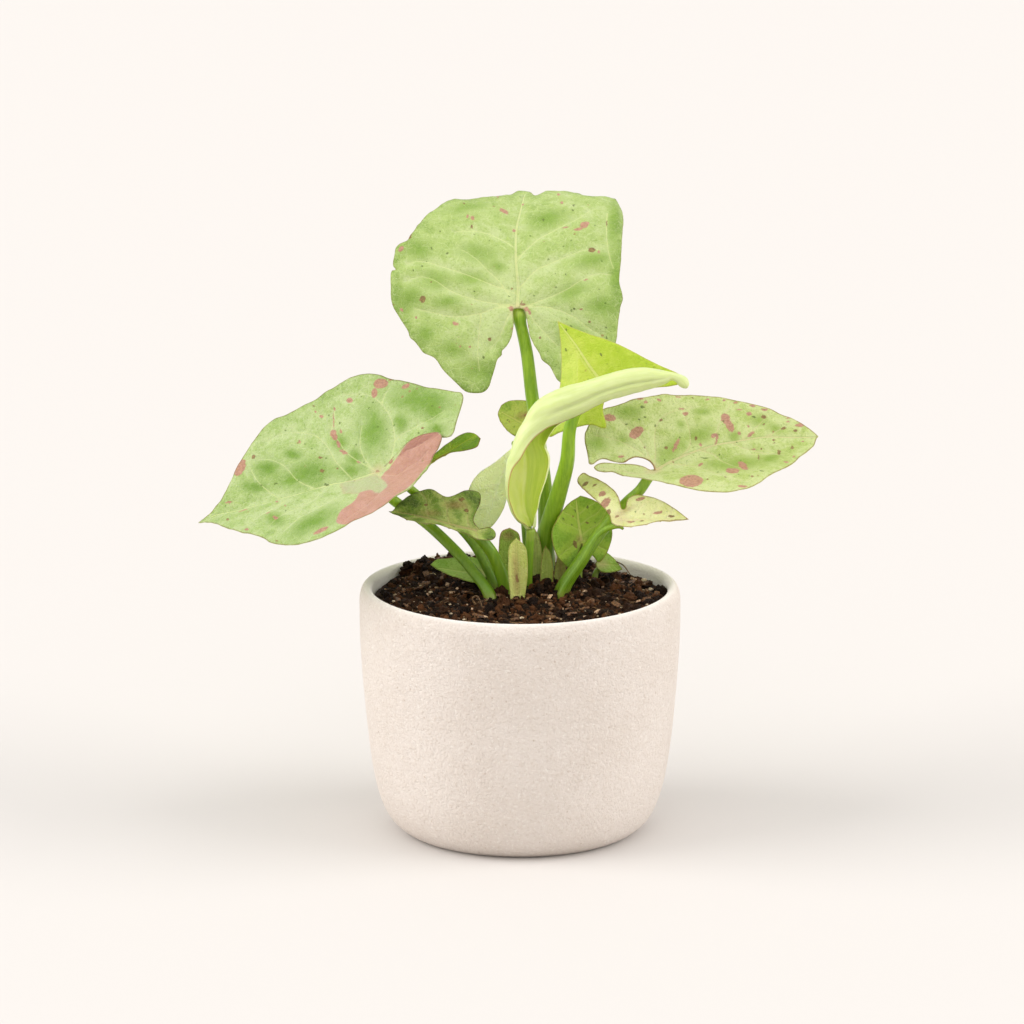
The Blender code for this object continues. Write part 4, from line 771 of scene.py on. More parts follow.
def smooth_line(points, step):
    """Points about one step apart along a smooth curve through the given points."""
    p = np.asarray(points, float)
    p = np.vstack([2 * p[0] - p[1], p, 2 * p[-1] - p[-2]])
    gaps = np.sqrt(np.linalg.norm(np.diff(p, axis=0), axis=1))
    knots = np.concatenate([[0], np.cumsum(gaps)])
    dense = []
    for k in range(1, len(p) - 2):
        t0, t1, t2, t3 = knots[k - 1:k + 3]
        p0, p1, p2, p3 = p[k - 1:k + 3]
        for t in np.linspace(t1, t2, 12, endpoint=k == len(p) - 3):
            a1 = (t1 - t) / (t1 - t0) * p0 + (t - t0) / (t1 - t0) * p1
            a2 = (t2 - t) / (t2 - t1) * p1 + (t - t1) / (t2 - t1) * p2
            a3 = (t3 - t) / (t3 - t2) * p2 + (t - t2) / (t3 - t2) * p3
            b1 = (t2 - t) / (t2 - t0) * a1 + (t - t0) / (t2 - t0) * a2
            b2 = (t3 - t) / (t3 - t1) * a2 + (t - t1) / (t3 - t1) * a3
            dense.append((t2 - t) / (t2 - t1) * b1 + (t - t1) / (t2 - t1) * b2)
    dense = np.array(dense)
    along = lengths_along(dense[:, :3])
    want = np.linspace(0, along[-1], max(2, round(along[-1] / step) + 1))
    return np.stack([np.interp(want, along, column) for column in dense.T], 1)


def lengths_along(points):
    """How far along a line each of its points is."""
    steps = np.linalg.norm(np.diff(points, axis=0), axis=1)
    return np.concatenate([[0], np.cumsum(steps)])


def inside(points, loop):
    """Whether each flat point lies inside the closed loop."""
    x, y = points[:, 0:1], points[:, 1:2]
    x0, y0 = loop.T
    x1, y1 = np.roll(loop, -1, 0).T
    rise = np.where(np.abs(y1 - y0) < 1e-9, 1e-9, y1 - y0)
    crosses = ((y0 > y) != (y1 > y)) & (x < (x1 - x0) * (y - y0) / rise + x0)
    return crosses.sum(1) % 2 == 1


def line_distance(points, line, closed=False):
    """Distance of each flat point from a line, and how far along it from 0 to 1."""
    ends = np.roll(line, -1, 0) if closed else line[1:]
    starts = line if closed else line[:-1]
    span = ends - starts
    share = ((points[:, None] - starts) * span).sum(2) / np.maximum((span ** 2).sum(1), 1e-9)
    share = np.clip(share, 0, 1)
    away = np.linalg.norm(points[:, None] - (starts + share[..., None] * span), axis=2)
    best = away.argmin(1)
    rows = np.arange(len(points))
    return away[rows, best], (best + share[rows, best]) / len(starts)


def area_distance(points, loop):
    """Signed distance from the area in a closed loop, negative inside it."""
    away, _ = line_distance(points, loop, closed=True)
    return np.where(inside(points, loop), -away, away)


def well_inside(points, loop, gap):
    """Whether each flat point lies inside the loop and farther than the gap from it."""
    good = inside(points, loop)
    good[good] = line_distance(points[good], loop, closed=True)[0] > gap
    return good


def point_normals(points, faces):
    """The unit normal at each point, from the triangles around it."""
    corners = points[np.asarray(faces)]
    across = np.cross(corners[:, 1] - corners[:, 0], corners[:, 2] - corners[:, 0])
    normals = np.zeros_like(points)
    for k in range(3):
        np.add.at(normals, np.asarray(faces)[:, k], across)
    return normals / np.maximum(np.linalg.norm(normals, axis=1), 1e-12)[:, None]


def ring_of(radius, height, around):
    """Points of one level ring around the pot's axis."""
    turns = [2 * math.pi * k / around for k in range(around)]
    return [(radius * math.cos(turn), radius * math.sin(turn), height) for turn in turns]


def turned_faces(rings, around):
    """Faces of a closed turned shape: its first point, its rings and its last point."""
    def at(ring, k):
        return 1 + ring * around + k % around

    faces = [(0, at(0, k), at(0, k + 1)) for k in range(around)]
    for ring in range(rings - 1):
        faces += [(at(ring, k), at(ring + 1, k), at(ring + 1, k + 1), at(ring, k + 1))
                  for k in range(around)]
    end = 1 + rings * around
    return faces + [(end, at(rings - 1, k + 1), at(rings - 1, k)) for k in range(around)]


def bend_leaf(flat, leaf):
    """Carry flat leaf points to the bent blade, in the leaf's own axes."""
    x, y = flat.T
    length, width = leaf["length"], leaf["width"]
    steps = (np.arange(24) + 0.5) / 24

    def midrib_angle(at):
        behind, ahead = np.clip(-at / length, 0, None), np.clip(at / length, 0, None)
        return np.radians(leaf["lobe"] * behind - leaf["arch"] * ahead)

    angles = midrib_angle(x[:, None] * steps)
    along = x * np.cos(angles).mean(1)
    lift = x * np.sin(angles).mean(1)
    side = np.where(y >= 0, 0, 1)
    fold = np.array(leaf["fold"])[side]
    if "back" in leaf:
        fold = fold + np.array(leaf["back"])[side] * np.clip(-x / length, 0, None)
    reach = np.abs(y)[:, None] * steps
    slope = fold[:, None] + np.array(leaf["curl"])[side][:, None] * reach / width
    if "crease" in leaf:
        start, lean, drop = leaf["crease"]
        line = np.clip(lean * (start - x), 0, None)[:, None]
        past = np.clip((reach - line) / CREASE_WIDTH + 0.5, 0, 1)
        slope = slope - np.where(y > 0, drop, 0)[:, None] * past
    slope = np.radians(slope)
    across = y * np.cos(slope).mean(1)
    height = np.abs(y) * np.sin(slope).mean(1)
    turn = midrib_angle(x)
    return np.stack([along - np.sin(turn) * height, across, lift + np.cos(turn) * height], 1)


def leaf_axes(leaf):
    """The leaf's forward, left and upper directions as columns."""
    heading, pitch, roll = (math.radians(leaf[key]) for key in ("heading", "pitch", "roll"))
    forward = np.array([math.cos(heading) * math.cos(pitch),
                        math.sin(heading) * math.cos(pitch), math.sin(pitch)])
    left = np.array([-math.sin(heading), math.cos(heading), 0])
    left = left * math.cos(roll) + np.cross(forward, left) * math.sin(roll)
    return np.stack([forward, left, np.cross(forward, left)], 1)


def small_leaf_veins(leaf):
    """A midrib and side veins for a small leaf, from its length and width."""
    length, width = leaf["length"], leaf["width"]
    veins = [[(0, 0), (length * 0.35, 0.02 * width), (length * 0.7, 0), (length * 0.97, 0)]]
    for k in range(3):
        for side in (1, -1):
            start = length * (0.12 + 0.24 * k + 0.05 * side)
            veins.append([(start, 0), (start + 0.2 * width, side * 0.3 * width),
                          (start + 0.34 * width, side * 0.62 * width),
                          (start + 0.8 * width, side * 0.95 * width)])
    for side in (1, -1):
        veins.append([(0, 0), (-0.15 * width, side * 0.3 * width), (-0.5 * width, side * width)])
    return veins


def sheath_veins(leaf):
    """Long veins of a sheath, side by side."""
    length, width = leaf["length"], leaf["width"]
    veins = [[(0.5, 0), (length * 0.5, 0), (length * 0.95, 0)]]
    for share in (-0.6, -0.3, 0.3, 0.6):
        veins.append([(length * 0.1, share * width * 0.5), (length * 0.5, share * width),
                      (length * 0.9, share * width * 0.5)])
    return veins


def leaf_veins(leaf, look):
    if "veins" in look:
        return look["veins"]
    return sheath_veins(leaf) if "on_soil" in leaf else small_leaf_veins(leaf)


def waved_loop(leaf, step):
    """The leaf's outline, with fine waves that fade towards its foot."""
    right, left = (smooth_line(leaf[side], 0.8 * step) for side in ("right", "left"))
    loop = np.vstack([right[:-1], left[:-1]])
    ahead = np.roll(loop, -1, 0) - np.roll(loop, 1, 0)
    outward = np.stack([ahead[:, 1], -ahead[:, 0]], 1)
    outward /= np.maximum(np.linalg.norm(outward, axis=1), 1e-9)[:, None]
    level = np.column_stack([loop, np.zeros(len(loop))])
    wave = noise_at(level, 2.2, 3.0) + 0.6 * noise_at(level, 5.5, 9.0)
    wave *= np.clip(np.linalg.norm(loop, axis=1) / 12 - 0.3, 0.1, 1)
    return loop + outward * (leaf.get("teeth", 0.1) * wave)[:, None]


def flat_blade(leaf, lines, step):
    """Flat points and triangles of a leaf, with rows along its margin and its veins."""
    loop = waved_loop(leaf, step)
    points = [tuple(point) for point in loop]
    edges = [(k, (k + 1) % len(loop)) for k in range(len(loop))]
    taken = np.zeros((0, 2))
    for line in lines:
        good = well_inside(line, loop, 0.6 * step)
        if len(taken):
            good &= np.linalg.norm(line[:, None] - taken, axis=2).min(1) > 0.5 * step
        for k in np.flatnonzero(good):
            points.append(tuple(line[k]))
            if k and good[k - 1]:
                edges.append((len(points) - 2, len(points) - 1))
        taken = np.vstack([taken, line[good]])
    low, high = loop.min(0), loop.max(0)
    grid = np.array([(x, y) for row, x in enumerate(np.arange(low[0], high[0], step * 0.866))
                     for y in np.arange(low[1] + (row % 2) * step / 2, high[1], step)])
    grid = grid[well_inside(grid, loop, 0.55 * step)]
    if len(taken):
        near = np.array([np.min(np.sum((taken - point) ** 2, axis=1)) for point in grid])
        grid = grid[near > (0.55 * step) ** 2]
    points = [Vector(point) for point in [*points, *grid]]
    flat, _, faces, *_ = geometry.delaunay_2d_cdt(points, edges, [], 1, 1e-6)
    return np.array([tuple(point) for point in flat]), [tuple(face) for face in faces], loop


def skin_faces(faces, count):
    """Faces of the upper skin, of the under skin and of the rim between them."""
    sides = dict.fromkeys((a, b) for face in faces for a, b in zip(face, face[1:] + face[:1]))
    rim = [(a, b) for a, b in sides if (b, a) not in sides]
    under = [tuple(count + corner for corner in face[::-1]) for face in faces]
    return faces + under + [(a, a + count, b + count, b) for a, b in rim]


class Veins:
    """Distances of flat points from a leaf's veins. Rib and edge are measured from the
    sides of the midrib and of any vein, and between from the middle of any vein."""

    def __init__(self, flat, lines, scale):
        self.midrib, self.share = line_distance(flat, lines[0])
        self.rib = self.midrib - scale * (0.5 - 0.38 * self.share)
        self.side = np.full(len(flat), FAR)
        self.edge = self.rib
        for line in lines[1:]:
            away, share = line_distance(flat, line)
            self.side = np.minimum(self.side, away)
            self.edge = np.minimum(self.edge, away - scale * (0.2 - 0.16 * share))
        self.between = np.minimum(self.midrib, self.side)


def blade_lift(flat, look, margin, veins):
    """How far the blade swells between its veins, sinks along them and waves at its rim."""
    level = np.column_stack([flat, np.zeros(len(flat))])
    puff, scale = look["puff"], look.get("rib", 1.0)
    lift = puff * (0.3 * (1 - np.exp(-(veins.between / 1.1) ** 2))
                   + 0.7 * (1 - np.exp(-(veins.between / 4.5) ** 2)) - 0.55)
    groove = np.exp(-(veins.midrib / (0.9 * scale)) ** 2)
    lift -= 0.3 * scale * groove * (1 - 0.7 * veins.share)
    lift += puff * (0.3 * noise_at(level, 7.0, 1.0) + 0.16 * noise_at(level, 2.6, 5.0)
                    + 0.07 * noise_at(level, 1.3, 8.0))
    lift += look.get("sag", 0.0) * noise_at(level, 17.0, 13.0)
    lift *= 0.35 + 0.65 * np.clip(margin / 3.0, 0, 1)
    wave = noise_at(level, 9.0, 7.0) + 0.35 * noise_at(level, 3.4, 4.0)
    lift += look["wave"] * np.exp(-(margin / 3.0) ** 2) * wave
    lift *= np.clip(np.linalg.norm(flat, axis=1) / 6, 0.15, 1)
    if "hem" in look:
        start, fall = look["hem"]
        lift -= fall * np.clip(-flat[:, 1] - start, 0, None) * np.clip(flat[:, 0] / 20, 0, 1)
    return lift


def blade_depth(margin, veins, scale):
    """How thick the blade is: thin at its rim, with its veins standing out below."""
    depth = SKIN_THICKNESS * (0.4 + 0.6 * np.clip(margin / 2.0, 0, 1))
    rib = np.exp(-(veins.midrib / (0.75 * scale)) ** 2)
    depth += 0.9 * scale * rib * (1 - veins.share) ** 0.7
    return depth + 0.28 * scale * np.exp(-(veins.side / 0.4) ** 2)


def patch_distance(flat, patches):
    """How far each flat point lies outside the nearest oval patch, -3 at its middle."""
    nearest = np.full(len(flat), FAR)
    for x, y, half_length, half_width, turn in patches:
        along = np.array([math.cos(math.radians(turn)), math.sin(math.radians(turn))])
        away = flat - (x, y)
        reach = np.hypot(away @ along / half_length,
                         away @ np.array([-along[1], along[0]]) / half_width)
        nearest = np.minimum(nearest, 3 * (reach - 1))
    return nearest


def make_blade(name, leaf, look):
    """A leaf's blade as a closed skin, with what its shader reads at each point."""
    step, scale = look.get("step", 1.0), look.get("rib", 1.0)
    lines = [smooth_line(vein, 0.9 * step) for vein in leaf_veins(leaf, look)]
    flat, faces, loop = flat_blade(leaf, lines, step)
    margin, _ = line_distance(flat, loop, closed=True)
    veins = Veins(flat, lines, scale)
    moved = flat.copy()
    over = np.zeros(len(flat))
    if "lap" in look:
        slit = smooth_line(look["lap"], 0.5)[::-1]
        above = flat[:, 1] - np.interp(flat[:, 0], slit[:, 0], slit[:, 1])
        slit_end = slit[-1][0]
        over = np.clip((slit_end - flat[:, 0]) / LAP_REACH, 0, 1) * (above > 0)
        over = over * np.exp(-(above / LAP_REACH) ** 2)
        moved[:, 1] -= LAP_SHIFT * over
    bent = bend_leaf(moved, leaf)
    normals = point_normals(bent, faces)
    if normals[:, 2].sum() < 0:
        faces = [face[::-1] for face in faces]
        normals = -normals
    lift = blade_lift(flat, look, margin, veins) + LAP_RISE * over
    top = bent + normals * lift[:, None]
    under = top - normals * blade_depth(margin, veins, scale)[:, None]
    at = np.array(leaf["at"], float)
    if "on_soil" in leaf:
        at[2] += soil_height(at[0], at[1])
    values = {"rib": veins.rib, "vein": veins.edge, "margin": margin,
              "between": veins.between, "foot": np.linalg.norm(flat, axis=1)}
    for zone, outline in look.get("zones", {}).items():
        away = area_distance(flat, smooth_line(outline + outline[:2], 0.6)[:-2])
        if "lap" in look:
            away = np.where(flat[:, 0] < slit_end, np.maximum(away, -above), away)
        values["zone_" + zone] = away
    if "patches" in look:
        values["shade"] = patch_distance(flat, look["patches"])
    if "red_line" in look:
        values["red"], _ = line_distance(flat, np.array(look["red_line"], float))
    values = {key: np.tile(value, 2) for key, value in values.items()}
    sides = np.repeat([0, 1], len(flat))
    values["flat"] = np.column_stack([np.tile(flat, (2, 1)), sides])
    points = at + np.vstack([top, under]) @ leaf_axes(leaf).T
    return make_mesh(name, points, skin_faces(faces, len(flat)), values)


# Each kind of mark: its colour, the colour of its middle and its rim, and how strongly it
# covers the leaf.
MARKS = {"pink": ((200, 146, 128), (174, 118, 102), 0.88),
         "brown": ((158, 118, 76), (120, 82, 50), 0.85),
         "green": ((112, 132, 54), (76, 92, 34), 0.8),
         "stain": ((178, 136, 94), (140, 96, 60), 0.6)}


class Skin:
    """What a blade's shader reads: its mesh values, and noises and nets of cells on it."""

    def __init__(self, s):
        self.vein, self.rib, self.margin = s.value("vein"), s.value("rib"), s.value("margin")
        self.between, self.foot = s.value("between"), s.value("foot")
        flat = s.vector("flat")
        self.under = s.part(flat, 2)
        plane = s.scaled(flat, 1, 1, 0)
        wander = s.node("TexNoise", {"Vector": plane, "Scale": 0.8, "Detail": 3.0,
                                     "Roughness": 0.6}).outputs["Color"]
        wander = s.node("SeparateColor", {0: wander}).outputs
        wander = s.node("CombineXYZ", {0: wander[0], 1: wander[1], 2: 0.5}).outputs[0]
        wander = s.node("VectorMath", {0: wander, 1: (0.5, 0.5, 0.5)},
                        operation="SUBTRACT").outputs[0]
        self.warped = s.node("VectorMath", {0: wander, 1: (1.5, 1.5, 0), 2: plane},
                             operation="MULTIPLY_ADD").outputs[0]
        self.big = s.noise(plane, 0.06, 3, 0.6, 0.5)
        self.middle = s.noise(plane, 0.2, 5, 0.65, 0.5)
        self.fine = s.noise(plane, 0.9, 5, 0.7)
        self.tiny = s.noise(plane, 3.6, 2, 0.6)
        self.net = s.cells(self.warped, 0.36, "DISTANCE_TO_EDGE")
        self.grain = s.cells(self.warped, 1.25, "DISTANCE_TO_EDGE")


def ground_colour(s, skin, look):
    """Light, middle and dark green in soft areas, with the small nets between the veins."""
    light, mid, dark, halo = (rgb(*look[key]) for key in ("light", "mid", "dark", "halo"))
    pale_foot, grain = look.get("foot_pale", 0.15), look.get("grain_share", 0.25)
    away = s.ramp(skin.between, 0.6, 4.5)
    tone = s.sum("MULTIPLY_ADD", away, look.get("patch", 0.4), -0.2)
    tone = s.sum("MULTIPLY_ADD", skin.middle, 1.5, s.sum("ADD", tone, -0.75))
    tone = s.sum("MULTIPLY_ADD", skin.big, 1.1, s.sum("ADD", tone, -0.3))
    tone = s.sum("MULTIPLY_ADD", skin.fine, 0.5, s.sum("ADD", tone, -0.25))
    tone = s.sum("MULTIPLY_ADD", s.ramp(skin.foot, 4, 34), pale_foot,
                 s.sum("ADD", tone, -0.5 * pale_foot))
    tone = s.sum("MULTIPLY_ADD", s.ramp(skin.margin, 7, 0), look.get("rim_dark", 0.1), tone)
    colour = s.mix(s.ramp(tone, -0.05, 0.45), light, mid)
    colour = s.tint(colour, tone, 0.4, 0.95, look.get("dark_share", 0.85), dark)
    # Painted light: the yellow leaf's facet beyond its crease is made paler.
    if "painted_lit_facet" in look.get("zones", {}):
        colour = s.tint(colour, s.value("zone_painted_lit_facet"), 0.5, -1.5, 0.25, rgb(214, 226, 132))
    colour = s.tint(colour, skin.between, 1.1, 0.1, 0.35, halo)
    colour = s.tint(colour, skin.net, 0.045, 0.0, look.get("net_share", 0.35), halo)
    colour = s.tint(colour, skin.grain, 0.14, 0.0, grain, halo)
    colour = s.tint(colour, skin.grain, 0.2, 0.45, grain, mid)
    colour = s.tint(colour, skin.fine, 0.54, 0.72, look.get("fleck_share", 0.45), dark)
    return s.tint(colour, skin.fine, 0.44, 0.28, 0.35, light)


def vein_colours(s, skin, look, colour):
    """Patches of deeper colour, then the veins and the midrib's dark sides over them."""
    if "patches" in look:
        shade = s.sum("MULTIPLY_ADD", skin.middle, 9.0, s.sum("ADD", s.value("shade"), -4.5))
        shade = s.sum("MULTIPLY_ADD", skin.fine, 5.0, s.sum("ADD", shade, -2.5))
        colour = s.tint(colour, shade, 2.8, -3.2, look.get("shade_share", 0.85),
                        rgb(*look["shade"]), "MULTIPLY")
    veins = rgb(*look["vein"])
    colour = s.tint(colour, skin.vein, 0.2, -0.06, look.get("vein_share", 0.6), veins)
    rib_side = s.sum("ABSOLUTE", s.sum("ADD", skin.rib, -0.28))
    colour = s.tint(colour, rib_side, 0.22, 0.0, 0.3, rgb(*look["dark"]))
    return s.tint(colour, skin.rib, 0.15, -0.15, look.get("rib_share", 0.8), veins)


def zone_colours(s, skin, colour):
    """The pink lobe of the left leaf, painted shade on its folded edge, and its pale patch."""
    rough_edge = s.sum("MULTIPLY_ADD", skin.fine, 1.0, -0.5)
    pink, painted_fold_shade, cream = (s.sum("ADD", s.value("zone_" + zone), rough_edge)
                         for zone in ("pink", "painted_fold_shade", "cream"))
    body = s.mix(s.ramp(skin.middle, 0.3, 0.7), rgb(200, 152, 136), rgb(188, 138, 120))
    body = s.tint(body, skin.fine, 0.5, 0.75, 0.5, rgb(168, 124, 106))
    body = s.tint(body, skin.fine, 0.45, 0.25, 0.4, rgb(206, 176, 158))
    body = s.tint(body, skin.vein, 0.25, -0.1, 0.4, rgb(214, 180, 158))
    colour = s.tint(colour, pink, 0.3, -0.2, 0.96, body)
    # Painted shade: darker pink along the fold by the lapping edge.
    colour = s.tint(colour, painted_fold_shade, 0.5, -0.5, 0.7, rgb(172, 120, 104))
    colour = s.tint(colour, s.sum("ABSOLUTE", cream), 1.3, 0.1, 0.4, rgb(192, 158, 142))
    pale = s.mix(s.ramp(skin.fine, 0.4, 0.7), rgb(186, 192, 148), rgb(172, 184, 130))
    pale = s.tint(pale, skin.middle, 0.45, 0.7, 0.5, rgb(190, 166, 146))
    return s.tint(colour, cream, 0.3, -0.6, 0.85, pale)


def mark_distance(s, place, marks):
    """Distance in millimetres outside the nearest mark."""
    nearest = None
    for x, y, half_length, half_width, turn in marks:
        half_length, half_width = max(half_length, 0.3), max(half_width, 0.28)
        reach = min(half_length, half_width)
        local = s.node("Mapping", {"Vector": place, "Location": (x, y, 0),
                                   "Rotation": (0, 0, math.radians(turn)),
                                   "Scale": (half_length, half_width, 1)},
                       vector_type="TEXTURE").outputs[0]
        away = s.node("VectorMath", {0: local}, operation="LENGTH").outputs["Value"]
        away = s.sum("MULTIPLY_ADD", away, reach, -reach)
        nearest = away if nearest is None else s.sum("MINIMUM", nearest, away)
    return nearest


def mark_colours(s, skin, look, colour):
    """The leaf's own marks, and the fine dots all over it."""
    ragged = s.sum("MULTIPLY_ADD", skin.fine, 0.7, -0.35)
    for kind, (tone, middle, strength) in MARKS.items():
        if kind not in look.get("marks", {}):
            continue
        away = s.sum("ADD", mark_distance(s, skin.warped, look["marks"][kind]), ragged)
        shade = s.mix(s.ramp(skin.fine, 0.36, 0.62), rgb(*tone), rgb(*middle))
        low, high = (1.6, -1.4) if kind == "stain" else (0.2, -0.22)
        colour = s.tint(colour, away, low, high, strength, shade)
        if kind != "stain":
            rim = s.sum("ABSOLUTE", s.sum("ADD", away, 0.12))
            colour = s.tint(colour, rim, 0.22, 0.0, 0.35, rgb(*middle))
    if "red_line" in look:
        colour = s.tint(colour, s.value("red"), 0.75, 0.2, 0.8, rgb(146, 94, 62))
    dot, own = s.dots(skin.warped, 0.33, 0.42, 0.14)
    dot = s.sum("MULTIPLY", dot, look.get("dot_share", 0.7))
    tone = s.mix(s.sum("GREATER_THAN", own[1], 0.45), rgb(96, 124, 44), rgb(158, 116, 74))
    return s.mix(dot, colour, tone)


def edge_colours(s, skin, look, colour):
    """The pale joint at the blade's foot, the line along its margin and its under side."""
    colour = s.tint(colour, skin.foot, 5.0, 0.5, look.get("joint_share", 0.4),
                    rgb(212, 178, 146))
    wide = look.get("margin_width", 0.0)
    line = s.sum("MULTIPLY_ADD", skin.fine, -0.5, s.sum("ADD", skin.margin, 0.2))
    line = s.ramp(line, 0.36 + wide, 0.06 + wide, 0, look.get("margin_share", 0.8))
    line = s.sum("MULTIPLY", line, s.ramp(skin.middle, 0.3, 0.55, 0.35, 1.0))
    colour = s.mix(line, colour, rgb(*look["margin"]))
    light = rgb(*look["light"])
    back = s.tint(rgb(*look.get("under", look["light"])), skin.middle, 0.3, 0.7, 0.5, light)
    back = s.tint(back, skin.vein, 0.3, -0.1, 0.6, rgb(*look["vein"]))
    return s.mix(s.sum("MULTIPLY", skin.under, 0.8), colour, back)


def leaf_material(name, look):
    """Blade colours from the flat leaf: veins, mottling, marks, margin and under side."""
    s = Shader(name)
    skin = Skin(s)
    colour = vein_colours(s, skin, look, ground_colour(s, skin, look))
    if "pink" in look.get("zones", {}):
        colour = zone_colours(s, skin, colour)
    colour = edge_colours(s, skin, look, mark_colours(s, skin, look, colour))
    height = s.sum("MULTIPLY_ADD", s.ramp(skin.net, 0.0, 0.12), 0.6,
                   s.sum("MULTIPLY", skin.tiny, 0.3))
    height = s.sum("MULTIPLY_ADD", s.ramp(skin.grain, 0.0, 0.25), 0.5, height)
    height = s.sum("MULTIPLY_ADD", s.ramp(skin.between, 0.0, 0.7), 0.7, height)
    height = s.sum("ADD", skin.fine, height)
    s.set(Base_Color=colour, Normal=s.bump(height, 0.55, 0.0005),
          Roughness=look.get("rough", 0.48), Specular_IOR_Level=0.3,
          Subsurface_Weight=look.get("glow", 0.3), Subsurface_Radius=(0.75, 0.85, 0.3),
          Subsurface_Scale=0.0008)
    return s.material


def pot_profile():
    """The pot's section as (radius, height) points, from its inner floor to its foot."""
    rim = []
    for angle in np.radians(np.linspace(90, 8, 9)):
        rim.append((POT_CROWN_RADIUS - (POT_CROWN_RADIUS - POT_MOUTH_RADIUS) * math.sin(angle),
                    POT_HEIGHT - POT_LIP * (1 - math.cos(angle))))
    for angle in np.radians(np.linspace(90, 0, 15)):
        rim.append((POT_CROWN_RADIUS + (POT_RADIUS - POT_CROWN_RADIUS) * math.cos(angle),
                    POT_SHOULDER + (POT_HEIGHT - POT_SHOULDER) * math.sin(angle)))
    wall = smooth_line(POT_INSIDE[::-1], 2.5)
    outer = smooth_line(POT_OUTSIDE[3:][::-1], 1.6)
    return np.vstack([wall[1:], rim, outer[1:-1], POT_OUTSIDE[3:0:-1]])


def make_pot():
    """The pot, a little uneven, with its rim dipping at the front."""
    profile = pot_profile()
    points = [(0, 0, POT_INSIDE[-1][1])]
    for radius, height in profile:
        points += ring_of(radius, height, POT_AROUND)
    points = np.array([*points, (0, 0, 0)])
    radius = np.hypot(points[:, 0], points[:, 1])
    uneven = 0.10 * noise_at(points, 26.0, 4.0) + 0.035 * noise_at(points, 4.0, 8.0)
    uneven *= (points[:, 2] > 1.0) * (radius > 20)
    radial = points[:, :2] / np.maximum(radius, 1e-6)[:, None]
    points[:, :2] += radial * np.minimum(uneven, 0.05)[:, None]
    front = np.clip(-radial[:, 1], 0, 1) ** 1.5
    near_rim = np.clip((points[:, 2] - RIM_DIP_FROM) / 12, 0, 1)
    points[:, 2] -= RIM_DIP * front * near_rim ** 2
    mesh = make_mesh("stoneware_pot", points, turned_faces(len(profile), POT_AROUND))
    piece("stoneware_pot", mesh, pot_material(), "cream_stoneware", "pot")


def pot_material():
    """Cream stoneware with a fine sandy grain, paler inside the mouth as painted light."""
    s = Shader("sandy_stoneware")
    place = s.place()
    broad = s.noise(place, 0.035, 3, 0.5)
    patch = s.noise(place, 0.3, 4, 0.6)
    grain = s.noise(place, 0.95, 2, 0.6)
    sand = s.noise(place, 2.6, 2, 0.7)
    pits = s.cells(place, 1.3)
    colour = s.mix(s.ramp(broad, 0.3, 0.7), rgb(226, 215, 206), rgb(231, 221, 213))
    colour = s.tint(colour, patch, 0.4, 0.7, 0.25, rgb(222, 210, 198))
    colour = s.tint(colour, grain, 0.54, 0.72, 0.35, rgb(202, 186, 170))
    colour = s.tint(colour, grain, 0.44, 0.28, 0.5, rgb(248, 242, 234))
    # Painted light: the inner wall and the inner side of the rim are made paler, standing in for
    # light that the leaves keep from them.
    radius = s.node("VectorMath", {0: s.scaled(place, 1, 1, 0)}, operation="LENGTH")
    inner = s.ramp(radius.outputs["Value"], 59.4, 57.2)
    inner = s.sum("MULTIPLY", inner, s.ramp(s.part(place, 2), 80, 88))
    colour = s.mix(s.sum("MULTIPLY", inner, 0.85), colour, rgb(253, 247, 241))
    speck, _ = s.dots(place, 0.4, 0.55, 0.16)
    colour = s.mix(s.sum("MULTIPLY", speck, 0.4), colour, rgb(176, 152, 130))
    height = s.sum("MULTIPLY_ADD", grain, 0.8, s.sum("MULTIPLY", sand, 0.5))
    height = s.sum("MULTIPLY_ADD", s.ramp(pits, 0.18, 0.0), -0.5, height)
    height = s.sum("MULTIPLY_ADD", patch, 0.6, height)
    s.set(Base_Color=colour, Normal=s.bump(height, 1.0, 0.0007), Roughness=0.9,
          Specular_IOR_Level=0.25)
    return s.material


def soil_height(x, y):
    """Height of the soil's uneven top, which lies level near the pot's wall."""
    height = SOIL_LEVEL
    for at_x, at_y, rise, spread in SOIL_HEAPS:
        height += rise * math.exp(-((x - at_x) ** 2 + (y - at_y) ** 2) / (2 * spread ** 2))
    lumps = (0.5 * math.sin(0.42 * x + 0.7) * math.sin(0.38 * y + 1.3)
             + 0.35 * math.sin(0.71 * x - 0.55 * y) + 0.25 * math.sin(0.9 * y + 0.3 * x + 2))
    edge = POT_MOUTH_RADIUS - SOIL_GAP
    return height + lumps * min(1, max(0, (edge - math.hypot(x, y)) / SOIL_EDGE))


def soil_material():
    s = Shader("dark_potting_mix")
    place = s.place()
    broad = s.noise(place, 0.25, 4, 0.6)
    fine = s.noise(place, 2.2, 4, 0.7)
    colour = s.mix(s.ramp(s.value("tone"), 0.0, 1.0), rgb(32, 17, 7), rgb(106, 64, 32))
    colour = s.tint(colour, broad, 0.5, 0.75, 0.4, rgb(66, 44, 24))
    colour = s.tint(colour, fine, 0.6, 0.72, 0.7, rgb(136, 102, 64))
    colour = s.tint(colour, fine, 0.45, 0.3, 0.7, rgb(12, 7, 3))
    s.set(Base_Color=colour, Normal=s.bump(fine, 1.0, 0.0012), Roughness=0.6,
          Specular_IOR_Level=0.18)
    return s.material


def plain_grain(name, first, second, rough):
    """A matt material that varies finely between two colours."""
    s = Shader(name)
    fine = s.noise(s.place(), 1.6, 4, 0.65)
    colour = s.mix(s.ramp(fine, 0.35, 0.65), rgb(*first), rgb(*second))
    s.set(Base_Color=colour, Normal=s.bump(fine, 0.6, 0.0004), Roughness=rough)
    return s.material


def ball_shape(rounds):
    """A unit ball as points and triangles, after some rounds of division."""
    shape = bmesh.new()
    bmesh.ops.create_icosphere(shape, subdivisions=rounds, radius=1)
    points = np.array([tuple(v.co) for v in shape.verts])
    faces = [tuple(v.index for v in f.verts) for f in shape.faces]
    shape.free()
    return points, faces


